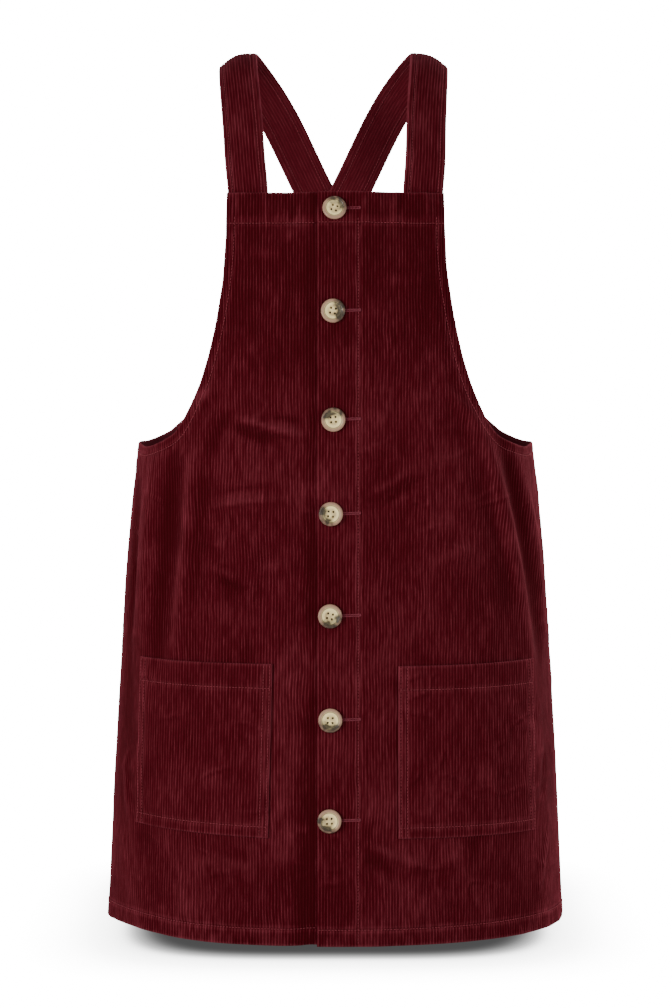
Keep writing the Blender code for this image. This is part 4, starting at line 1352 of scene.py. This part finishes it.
# ------------------------------------------------------------------ buttons
@dataclass
class Button:
    """A turned four-hole button sewn on the placket, with its stitched buttonhole."""

    number: int
    face: ClothFace
    drop: float
    across: float
    turn: float
    smoke: float
    radius: float = 11.0
    hole: float = 1.0
    hole_spacing: float = 4.4
    hole_depth: float = 2.2
    profile_names: tuple[str, str] = ("radius", "height")
    profile: tuple[tuple[float, float], ...] = (
        (0.0, 2.35), (1.0, 2.35), (4.5, 2.45), (6.0, 2.65), (7.2, 3.0), (7.8, 3.05), (8.3, 3.3),
        (8.9, 3.56), (9.5, 3.6), (10.1, 3.45), (10.6, 3.05), (10.9, 2.5), (11.0, 2.0))
    rim: tuple[tuple[float, float], ...] = ((10.96, 1.6), (10.7, 1.1), (10.1, 0.6), (9.2, 0.15),
                                            (8.0, 0.0), (4.0, 0.0), (0.6, 0.0))
    spokes: int = 84
    seat: float = 3.95
    slit_end: float = 22.6
    slit_rise: float = 0.9

    def axes(self) -> Matrix:
        """Placement: local X to the side, Y up the cloth, Z outward."""
        place = np.array([self.across]), np.array([self.drop])
        point = self.face.at(*place, np.array([self.seat]))[0]
        _, normal = self.face.form.frame_at(*place, False)
        out = Vector(normal[0])
        side = Vector((0.0, 0.0, 1.0)).cross(out).normalized()
        basis = Matrix((side, out.cross(side), out)).transposed().to_4x4()
        return Matrix.Translation(Vector(point)) @ basis @ Matrix.Rotation(
            math.radians(self.turn), 4, "Z")

    def placed(self, points: Array) -> Array:
        """Local points moved to the dress."""
        matrix = np.array(self.axes())
        return points @ matrix[:3, :3].T + matrix[:3, 3]

    def build(self, finish: bpy.types.Material) -> None:
        """Turn the profile and press four holes into it."""
        rows = np.array(self.profile)
        radii = np.unique(np.concatenate([
            [0.05, 0.6, 1.2, 1.6], np.arange(1.9, 4.5, 0.17), [4.8, 5.3], np.arange(5.6, 10.9, 0.25),
            [10.9, 11.0]]))
        upper = np.stack([radii, smooth(radii, rows[:, 0], rows[:, 1])], -1)
        line = np.concatenate([upper, np.array(self.rim)])
        spin = np.arange(self.spokes) * 2 * math.pi / self.spokes
        x = line[:, :1] * np.cos(spin)
        y = line[:, :1] * np.sin(spin)
        z = np.broadcast_to(line[:, 1:], x.shape).copy()
        half = self.hole_spacing / 2
        to_hole = np.hypot(np.abs(x) - half, np.abs(y) - half)
        top = np.arange(len(line))[:, None] < len(upper)
        z -= np.where(top, self.hole_depth * ease((self.hole + 0.12 - to_hole) / 0.3), 0.0)
        z += np.where(top & (line[:, :1] > 4.0), 0.05 * lattice_noise(x / 2.5, y / 2.5,
                                                                     float(self.number)), 0.0)
        local = np.stack([x, y, z], -1)
        index = np.arange(local.shape[0] * self.spokes).reshape(local.shape[:2])
        after = np.roll(index, -1, axis=1)
        quads = np.stack([index[:-1], index[1:], after[1:], after[:-1]], -1).reshape(-1, 4)
        faces = quads.tolist() + [index[0].tolist(), index[-1][::-1].tolist()]
        away = np.cos(np.arctan2(y, x) + math.radians(self.turn) - math.radians(self.smoke))
        reach = line[:, :1] / self.radius
        smoke = ease((away + 0.12) / 0.75) * ease((reach - 0.22) / 0.34)
        smoke = smoke * (1.0 - 0.3 * ease((reach - 0.8) / 0.08))
        smoke = smoke * (0.85 + 0.5 * lattice_noise(x / 2.6, y / 2.6, self.number + 2.0))
        spot = local.reshape(-1, 3) * MM + np.array([0.0, 0.0, 0.05 * self.number])
        # depth: share of the way out from a hole's middle, stored as rub, for the painted shade in
        # the holes.
        depth = np.clip(to_hole / (self.hole + 0.25), 0, 1)
        piece = mesh_object(f"horn_button_{self.number}", self.placed(local.reshape(-1, 3)), faces,
                            {"spot": spot, "rub": np.where(top, depth, 1.0).ravel(),
                             "smoke": smoke.ravel()})
        dress(piece, finish)
        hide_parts(f"button_{self.number}")

    def sew(self, thread: Stitching, holes: Stitching) -> None:
        """Work the buttonhole beside the button and the thread through its four holes."""
        half, deep = self.hole_spacing / 2, self.profile[1][1] - 0.95
        ends = np.array([[-half, -half], [-half, half], [half, -half], [half, half]])
        offsets = np.array([-0.34, 0.0, 0.34])
        start, end = [], []
        for a, b in ((0, 1), (2, 3)):
            for shift in offsets:
                start.append([ends[a, 0] + shift, ends[a, 1], deep - 0.1])
                end.append([ends[b, 0] + shift, ends[b, 1], deep - 0.1])
        start, end = self.placed(np.array(start)), self.placed(np.array(end))
        out = np.array(self.axes())[:3, 2]
        holes.add(start, end, np.broadcast_to(out, start.shape))
        first, last = self.across + 6.0, self.slit_end
        across = np.arange(first, last - 1.0, 0.48)
        for sign in (-1.0, 1.0):
            self.satin(thread, across, across, sign * 0.12, sign * 1.35)
        fan = np.linspace(-1.2, 1.2, 7)
        self.fan(thread, fan)

    def rise(self, across: Array) -> Array:
        """How far up the tilted slit lies at an across."""
        return self.slit_rise * (across - self.across) / (self.slit_end - self.across)

    def point(self, across: Array, up: Array) -> tuple[Array, Array]:
        """Place on the placket beside the slit, with its normal."""
        drop = self.drop - self.rise(across) - up
        _, normals = self.face.form.frame_at(across, drop, False)
        return self.face.at(across, drop, top_layer(across) + OUTER_LIFT + 0.66), normals

    def satin(self, thread: Stitching, start: Array, end: Array, near: float, far: float) -> None:
        """Stitches across one lip of the slit."""
        a, normals = self.point(start, np.full(len(start), near))
        b, _ = self.point(end, np.full(len(end), far))
        thread.add(a, b, normals)

    def fan(self, thread: Stitching, spread: Array) -> None:
        """Stitches fanned round the end of the slit."""
        a, normals = self.point(self.slit_end - 1.0 + 0 * spread, 0.15 * np.sin(spread))
        b, _ = self.point(self.slit_end - 1.0 + 1.7 * np.cos(spread), 1.7 * np.sin(spread))
        thread.add(a, b, normals)


# ------------------------------------------------------------------ finishes
@dataclass(frozen=True)
class Num:
    """A number flowing through a material, with ordinary arithmetic."""

    tree: bpy.types.NodeTree
    socket: bpy.types.NodeSocket

    def _math(self, operation: str, first: "Num | float", second: "Num | float | None" = None
              ) -> "Num":
        """One Math node fed from numbers or plain values."""
        node = self.tree.nodes.new("ShaderNodeMath")
        node.operation = operation
        for index, value in enumerate((first, second)):
            if isinstance(value, Num):
                self.tree.links.new(value.socket, node.inputs[index])
            elif value is not None:
                node.inputs[index].default_value = value
        return Num(self.tree, node.outputs[0])

    def __add__(self, other: "Num | float") -> "Num":
        """Sum."""
        return self._math("ADD", self, other)

    __radd__ = __add__

    def __sub__(self, other: "Num | float") -> "Num":
        """Difference."""
        return self._math("SUBTRACT", self, other)

    def __rsub__(self, other: float) -> "Num":
        """Difference from a plain number."""
        return self._math("SUBTRACT", other, self)

    def __mul__(self, other: "Num | float") -> "Num":
        """Product."""
        return self._math("MULTIPLY", self, other)

    __rmul__ = __mul__

    def __truediv__(self, other: "Num | float") -> "Num":
        """Quotient."""
        return self._math("DIVIDE", self, other)

    def __rtruediv__(self, other: float) -> "Num":
        """A plain number divided by this one."""
        return self._math("DIVIDE", other, self)

    def __pow__(self, other: "Num | float") -> "Num":
        """Power."""
        return self._math("POWER", self, other)

    def __rpow__(self, other: float) -> "Num":
        """A plain number raised to this one."""
        return self._math("POWER", other, self)

    def __neg__(self) -> "Num":
        """Negative."""
        return self._math("MULTIPLY", self, -1.0)

    def __abs__(self) -> "Num":
        """Size without sign."""
        return self._math("ABSOLUTE", self)

    def cos(self) -> "Num":
        """Cosine."""
        return self._math("COSINE", self)

    def clamp(self, low: float = 0.0, high: float = 1.0) -> "Num":
        """Held between two values."""
        return self._math("MINIMUM", self._math("MAXIMUM", self, low), high)

    def band(self, start: float, end: float) -> "Num":
        """Smooth step from 0 at start to 1 at end."""
        share = ((self - start) / (end - start)).clamp()
        return share * share * (3.0 - 2.0 * share)


Colour = tuple[float, float, float]


class Recipe:
    """A material being built: a Principled shader and the nodes that feed it."""

    def __init__(self, name: str, roughness: float, **fixed: float | Colour) -> None:
        """Start the material.

        Args:
            name: Material name.
            roughness: Roughness where nothing drives it.
            **fixed: Constant shader inputs, with _ for a space in each name.
        """
        self.material = bpy.data.materials.new(name)
        self.material.use_nodes = True
        self.tree = self.material.node_tree
        self.tree.nodes.clear()
        output = self.tree.nodes.new("ShaderNodeOutputMaterial")
        self.shader = self.tree.nodes.new("ShaderNodeBsdfPrincipled")
        self.tree.links.new(self.shader.outputs[0], output.inputs[0])
        self.shader.inputs["Roughness"].default_value = roughness
        for key, value in fixed.items():
            socket = self.shader.inputs[key.replace("_", " ")]
            socket.default_value = (*value, 1.0) if isinstance(value, tuple) else value

    def node(self, kind: str, settings: dict[str, object], values: dict[str, object]
             ) -> bpy.types.Node:
        """One node: settings first, then each input as a plain value or a link."""
        node = self.tree.nodes.new(kind)
        for key, value in settings.items():
            setattr(node, key, value)
        for key, value in values.items():
            socket = node.inputs[key]
            if isinstance(value, Num):
                self.tree.links.new(value.socket, socket)
            elif isinstance(value, bpy.types.NodeSocket):
                self.tree.links.new(value, socket)
            elif isinstance(value, tuple) and len(value) == 3 and socket.type == "RGBA":
                socket.default_value = (*value, 1.0)
            else:
                socket.default_value = value
        return node

    def number(self, socket: bpy.types.NodeSocket) -> Num:
        """Wrap an output for arithmetic."""
        return Num(self.tree, socket)

    def attribute(self, name: str) -> bpy.types.Node:
        """Read an attribute of the piece."""
        return self.node("ShaderNodeAttribute", {"attribute_name": name}, {})

    def vector(self, x: Num | float, y: Num | float, z: Num | float = 0.0
               ) -> bpy.types.NodeSocket:
        """Join three numbers."""
        return self.node("ShaderNodeCombineXYZ", {}, {"X": x, "Y": y, "Z": z}).outputs[0]

    def noise(self, vector: bpy.types.NodeSocket, scale: float, detail: float = 2.0,
              roughness: float = 0.5) -> Num:
        """Noise around 0.5."""
        node = self.node("ShaderNodeTexNoise", {}, {"Vector": vector, "Scale": scale,
                                                    "Detail": detail, "Roughness": roughness})
        return self.number(node.outputs[0])

    def blend(self, share: Num | float, first: object, second: object, kind: str = "MIX"
              ) -> bpy.types.NodeSocket:
        """Mix two colours, each a plain colour or a link."""
        node = self.node("ShaderNodeMix", {"data_type": "RGBA", "blend_type": kind},
                         {0: share, 6: first, 7: second})
        return node.outputs[2]

    def bump(self, height: Num, strength: float, distance: float) -> None:
        """Feed the shader's normal from a height."""
        node = self.node("ShaderNodeBump", {}, {"Height": height, "Strength": strength,
                                                "Distance": distance})
        self.tree.links.new(node.outputs[0], self.shader.inputs["Normal"])

    def link(self, socket: bpy.types.NodeSocket, name: str) -> None:
        """Feed one shader input."""
        self.tree.links.new(socket, self.shader.inputs[name])


@dataclass(frozen=True)
class Corduroy:
    """Brushed wide-wale cotton: valleys darkened by painted shade, soft crests lightened by painted
    highlight, streaks along the wales.
    """

    name: str
    pile: Colour = (0.066, 0.0036, 0.0074)
    # valley: colour of the painted shade in the wale valleys.
    valley: Colour = (0.032, 0.0012, 0.0026)
    # worn: pale colour of rubbed pile, also the painted highlight on wale crests and lit fold sides.
    pale_wear_and_highlight: Colour = (0.215, 0.038, 0.052)
    inside: Colour = (0.105, 0.0110, 0.0180)
    sheen: float = 0.10
    sheen_tint: Colour = (1.0, 0.22, 0.30)
    pitch: float = 2.84 * MM

    def make(self) -> bpy.types.Material:
        """Build the material."""
        recipe = Recipe(self.name, 0.92, Sheen_Weight=self.sheen, Sheen_Tint=self.sheen_tint,
                        Sheen_Roughness=0.4, Specular_IOR_Level=0.02)
        cut = recipe.node("ShaderNodeSeparateXYZ", {}, {"Vector": recipe.attribute(
            "cut").outputs["Vector"]})
        grain, drop = recipe.number(cut.outputs[0]), recipe.number(cut.outputs[1])
        rub = recipe.number(recipe.attribute("rub").outputs["Fac"])
        inside = recipe.number(recipe.attribute("inside").outputs["Fac"])
        wave = abs((grain * (math.pi / self.pitch)).cos())
        # Painted shade in the wale valleys and painted highlight along the wale crests.
        valley = wave.band(0.32, 0.82)
        crest = (1.0 - wave).band(0.62, 0.98)
        streak = recipe.noise(recipe.vector(grain * 1500.0, drop * 90.0), 1.0, 3.0, 0.6)
        fleck = recipe.noise(recipe.vector(grain * 4200.0, drop * 2100.0), 1.0, 2.0, 0.7)
        cloud = recipe.noise(recipe.vector(grain * 26.0, drop * 17.0), 1.0, 2.0, 0.5)
        blot = recipe.noise(recipe.vector(grain * 400.0, drop * 46.0), 1.0, 3.0, 0.6)
        # Paleness: rubbed wear and random tone, plus painted highlight from the crests and from the
        # rub attribute.
        wear_and_highlight_share = (0.02 + 0.62 * rub + 0.26 * crest + 1.7 * (streak - 0.5) * crest
                + 0.3 * (fleck - 0.5) + 0.4 * (cloud - 0.5) + 0.8 * (blot - 0.5)).clamp()
        pile = recipe.blend(wear_and_highlight_share, self.pile, self.pale_wear_and_highlight)
        # Darkening towards the valley colour: painted shade in the wale valleys and where rub is
        # below 0, with random tone from the noises.
        deep = (valley * (0.72 - 0.5 * rub) + 0.25 * (0.5 - fleck) + 0.9 * (0.5 - blot)
                + 0.6 * (0.5 - cloud) - 1.1 * rub * (rub * -1.0).band(0.0, 0.05)).clamp()
        cloth = recipe.blend(deep, pile, self.valley)
        weave = recipe.noise(recipe.vector(grain * 1900.0, drop * 1900.0), 1.0, 2.0, 0.6)
        lining = recipe.blend(weave, self.pile, self.inside)
        lining = recipe.blend((rub * inside * 0.8).clamp(), lining, self.pale_wear_and_highlight)
        recipe.link(recipe.blend(inside, cloth, lining), "Base Color")
        nap = fleck * 0.7 + streak * 0.6 - valley * 0.9
        recipe.bump(nap * (1.0 - inside) + weave * inside * 0.5, 0.55, 0.0004)
        return recipe.material


@dataclass(frozen=True)
class Thread:
    """Spun sewing thread."""

    name: str
    colour: Colour = (0.300, 0.055, 0.070)
    dark: Colour = (0.150, 0.020, 0.028)

    def make(self) -> bpy.types.Material:
        """Build the material."""
        recipe = Recipe(self.name, 0.8, Specular_IOR_Level=0.08)
        place = recipe.node("ShaderNodeTexCoord", {}, {}).outputs["Object"]
        twist = recipe.noise(place, 2300.0, 2.0, 0.6)
        recipe.link(recipe.blend(twist.band(0.3, 0.7), self.dark, self.colour), "Base Color")
        return recipe.material


@dataclass(frozen=True)
class Horn:
    """Polished mottled button: a creamy ring, a browner rim with a painted pink reflection of the
    cloth, a rubbed-looking dish, and painted shade in its holes.
    """

    name: str
    cream: Colour = (0.98, 0.80, 0.38)
    tan: Colour = (0.34, 0.23, 0.11)
    smoke: Colour = (0.020, 0.017, 0.014)
    # rim: browner horn at the rim, tinted pink as a painted reflection of the red cloth.
    rim: Colour = (0.30, 0.16, 0.12)
    line: Colour = (0.10, 0.06, 0.035)

    def make(self) -> bpy.types.Material:
        """Build the material."""
        recipe = Recipe(self.name, 0.36, Specular_IOR_Level=0.2, Coat_Weight=0.06,
                        Coat_Roughness=0.1)
        spot = recipe.attribute("spot").outputs["Vector"]
        axes = recipe.node("ShaderNodeSeparateXYZ", {}, {"Vector": spot})
        x, y = recipe.number(axes.outputs[0]), recipe.number(axes.outputs[1])
        radius = (x * x + y * y) ** 0.5 * 1000.0
        cloud = recipe.noise(spot, 130.0, 3.0, 0.6)
        blotch = recipe.noise(spot, 85.0, 1.0, 0.5)
        fine = recipe.noise(spot, 900.0, 3.0, 0.7)
        ring = radius.band(4.0, 6.0) * (1.0 - radius.band(7.6, 8.4))
        body = recipe.blend((0.5 + 1.8 * (cloud - 0.5)).clamp(), self.tan, self.cream)
        body = recipe.blend(ring * 0.75, body, self.cream)
        body = recipe.blend(radius.band(8.0, 8.8) * 0.88, body, self.rim)
        line = radius.band(7.2, 7.5) * (1.0 - radius.band(7.9, 8.3))
        body = recipe.blend(line * 0.8, body, self.line)
        smoke = recipe.number(recipe.attribute("smoke").outputs["Fac"])
        patch = (1.25 * smoke + 1.5 * (blotch - 0.5) * smoke + 1.4 * (fine - 0.5) * smoke).clamp()
        body = recipe.blend(patch * 0.95, body, self.smoke)
        body = recipe.blend((fine - 0.45).clamp() * 0.8, body, self.tan)
        # Painted shade: the holes turn near-black towards their middles.
        depth = recipe.number(recipe.attribute("rub").outputs["Fac"])
        recipe.link(recipe.blend((1.0 - depth).band(0.1, 0.6), body, (0.02, 0.012, 0.010)),
                    "Base Color")
        recipe.bump(cloud + fine * 0.3, 0.2, 0.0003)
        return recipe.material


# ------------------------------------------------------------------ studio
@dataclass(frozen=True)
class Lamp:
    """One soft rectangular light aimed at the dress."""

    name: str
    place: tuple[float, float, float]
    size: float
    power: float
    aim: tuple[float, float, float] = (0.0, 0.0, -0.42)

    def build(self) -> None:
        """Hang the lamp."""
        data = bpy.data.lights.new(self.name, "AREA")
        data.shape = "SQUARE"
        data.size, data.energy = self.size, self.power
        lamp = bpy.data.objects.new(self.name, data)
        lamp.location = self.place
        lamp.rotation_euler = (Vector(self.aim) - Vector(self.place)).to_track_quat(
            "-Z", "Y").to_euler()
        bpy.context.scene.collection.objects.link(lamp)


@dataclass(frozen=True)
class Studio:
    """White sweep, soft lamps and the camera."""

    floor: float = -0.8155
    glow: float = 17.0
    shade_names: tuple[str, str] = ("reach", "glow")
    shade: tuple[tuple[float, float], ...] = (
        (0.0, 0.07), (1.0, 0.082), (1.06, 0.088), (1.12, 0.155), (1.2, 0.6), (1.22, 0.82),
        (1.3, 3.9), (1.33, 5.2), (1.4, 6.8), (1.48, 8.2), (1.55, 10.0), (1.7, 13.5), (1.95, 17.0))
    shade_half: tuple[float, float] = (155.0, 152.0)
    shade_power: float = 4.0
    ambient: float = 0.42
    distance: float = 2.6
    elevation: float = 4.0
    lens: float = 96.73
    target: tuple[float, float, float] = (0.0004, 0.0, -0.419)
    lamps: tuple[Lamp, ...] = (
        Lamp("key", (-2.3, -2.3, 0.1), 1.1, 86.0),
        Lamp("fill", (2.9, -2.0, -0.1), 1.8, 53.0),
        Lamp("left_edge", (-2.0, 1.3, 0.2), 1.4, 20.0),
        Lamp("right_edge", (2.0, 1.2, 0.2), 1.4, 70.0),
    )

    def build(self) -> None:
        """Make everything that isn't the dress."""
        self.build_world()
        self.build_floor()
        for lamp in self.lamps:
            lamp.build()
        data = bpy.data.cameras.new("camera")
        data.sensor_fit, data.sensor_height, data.lens = "VERTICAL", 36.0, self.lens
        data.clip_end = 60.0
        camera = bpy.data.objects.new("camera", data)
        rise = math.radians(self.elevation)
        aim = Vector(self.target)
        camera.location = aim + self.distance * Vector((0.0, -math.cos(rise), math.sin(rise)))
        camera.rotation_euler = (aim - camera.location).to_track_quat("-Z", "Y").to_euler()
        bpy.context.scene.collection.objects.link(camera)
        bpy.context.scene.camera = camera

    def build_world(self) -> None:
        """Plain white to the eye, a soft grey as a light."""
        world = bpy.data.worlds.new("studio")
        bpy.context.scene.world = world
        world.use_nodes = True
        tree = world.node_tree
        shade = tree.nodes["Background"]
        path = tree.nodes.new("ShaderNodeLightPath")
        strength = Num(tree, path.outputs["Is Camera Ray"]) * (self.glow - self.ambient)
        tree.links.new((strength + self.ambient).socket, shade.inputs["Strength"])
        shade.inputs["Color"].default_value = (1.0, 1.0, 1.0, 1.0)

    def build_floor(self) -> None:
        """A white floor with a soft contact shade round the hem.

        The shade is read at t of a squarish ring grid, |x / a|^p + |y / b|^p = t^p.
        """
        rows = np.array(self.shade)
        reach = np.concatenate([np.linspace(0.02, 2.2, 90), np.geomspace(2.3, 40.0, 24)])
        spin = np.linspace(0.0, 2 * math.pi, 121)[:-1]
        square = (np.abs(np.cos(spin)) ** self.shade_power
                  + np.abs(np.sin(spin)) ** self.shade_power) ** (-1.0 / self.shade_power)
        x = reach[:, None] * np.cos(spin) * square * self.shade_half[0]
        y = reach[:, None] * np.sin(spin) * square * self.shade_half[1]
        points = np.stack([x, y, np.full(x.shape, self.floor / MM)], -1)
        index = np.arange(x.size).reshape(x.shape)
        after = np.roll(index, -1, axis=1)
        quads = np.stack([index[:-1], index[1:], after[1:], after[:-1]], -1).reshape(-1, 4)
        glow = np.exp(smooth(np.minimum(reach, rows[-1, 0]), rows[:, 0], np.log(rows[:, 1])))
        glow = np.broadcast_to(glow[:, None], x.shape)
        floor = mesh_object("floor", points.reshape(-1, 3),
                            [*quads.tolist(), index[0].tolist()], {"glow": glow.ravel()})
        material = bpy.data.materials.new("white_sweep")
        material.use_nodes = True
        tree = material.node_tree
        tree.nodes.clear()
        output = tree.nodes.new("ShaderNodeOutputMaterial")
        light, matt = tree.nodes.new("ShaderNodeEmission"), tree.nodes.new("ShaderNodeBsdfDiffuse")
        mix, path = tree.nodes.new("ShaderNodeMixShader"), tree.nodes.new("ShaderNodeLightPath")
        stored = tree.nodes.new("ShaderNodeAttribute")
        stored.attribute_name = "glow"
        tree.links.new(stored.outputs["Fac"], light.inputs["Strength"])
        matt.inputs["Color"].default_value = (0.8, 0.8, 0.8, 1.0)
        tree.links.new(path.outputs["Is Camera Ray"], mix.inputs[0])
        tree.links.new(matt.outputs[0], mix.inputs[1])
        tree.links.new(light.outputs[0], mix.inputs[2])
        tree.links.new(mix.outputs[0], output.inputs[0])
        floor.data.materials.append(material)


# ------------------------------------------------------------------ the dress
@dataclass
class Pinafore:
    """The whole dress: panels, pockets, straps, buttons and their sewing."""

    form: BodyForm = field(default_factory=BodyForm)
    button_names: tuple[str, ...] = ("drop", "across", "turn", "smoke")
    buttons: tuple[tuple[float, ...], ...] = (
        (142.2, -1.0, -18.0, 52.0), (234.8, -2.3, -12.0, 8.0), (332.9, -2.0, 6.0, 98.0),
        (419.0, -4.3, -6.0, 208.0), (512.0, -5.0, -14.0, 292.0), (607.0, -4.8, -2.0, 262.0),
        (698.7, -5.6, 3.0, 228.0))

    def panels(self, front: ClothFace, back: ClothFace) -> tuple[Panel, ...]:
        """The three body panels."""
        return (
            Panel("panel_front_left", "front_left", Slot.FRONT, front, None, PLACKET_INNER,
                  FRONT_EDGE, flat_layer, tuck=True),
            Panel("panel_front_right", "front_right", Slot.FRONT, front, PLACKET_EDGE, None,
                  FRONT_EDGE, top_layer),
            Panel("panel_back", "back", Slot.BACK, back, None, None, BACK_EDGE, flat_layer,
                  middle_rows=62, dense=((330.0, 470.0),)),
        )

    def build(self) -> None:
        """Make every piece in order."""
        front = ClothFace(self.form, FRONT_FOLDS, False)
        back = ClothFace(self.form, BACK_FOLDS, True)
        finishes = {slot: Corduroy(f"corduroy_{slot.name.lower()}").make()
                    for slot in (Slot.FRONT, Slot.BACK, Slot.STRAP, Slot.POCKET)}
        thread, horn = Thread("sewing_thread").make(), Horn("mottled_horn").make()
        dark = Thread("button_thread", (0.10, 0.07, 0.06), (0.03, 0.02, 0.02)).make()
        silk = Thread("buttonhole_thread", (0.22, 0.042, 0.060), (0.11, 0.016, 0.024)).make()
        sewing = {slot: Stitching(f"stitches_{slot.name.lower()}", slot) for slot in finishes}
        for panel in self.panels(front, back):
            panel.build(finishes[panel.slot])
            panel.sew(sewing[panel.slot])
        for pocket in (
                Pocket("pocket_patch_left", "pocket_left", front, -57.3, -61.5, -195.4, -201.6,
                       556.0, 715.0, 711.5),
                Pocket("pocket_patch_right", "pocket_right", front, 57.1, 57.2, 198.3, 201.4,
                       558.0, 715.5, 718.0)):
            pocket.build(finishes[Slot.POCKET])
            pocket.sew(sewing[Slot.POCKET])
        for strap in (Strap("strap_band_left", "strap_left", front, back, -1.0),
                      Strap("strap_band_right", "strap_right", front, back, 1.0)):
            strap.build(finishes[Slot.STRAP])
            strap.sew(sewing[Slot.STRAP])
        holes = Stitching("stitches_buttons", Slot.BUTTON, radius=0.3)
        loops = Stitching("stitches_buttonholes", Slot.FRONT, radius=0.24)
        for number, (drop, across, turn, smoke) in enumerate(self.buttons, start=1):
            button = Button(number, front, drop, across, turn, smoke)
            button.build(horn)
            button.sew(loops, holes)
        for gathered in sewing.values():
            gathered.build(thread)
        loops.build(silk)
        holes.build(dark)


def main() -> None:
    """Build the dress and the studio in order."""
    logging.basicConfig(level=logging.INFO, format="%(name)s: %(message)s")
    Pinafore().build()
    Studio().build()


if __name__ == "__main__":
    main()
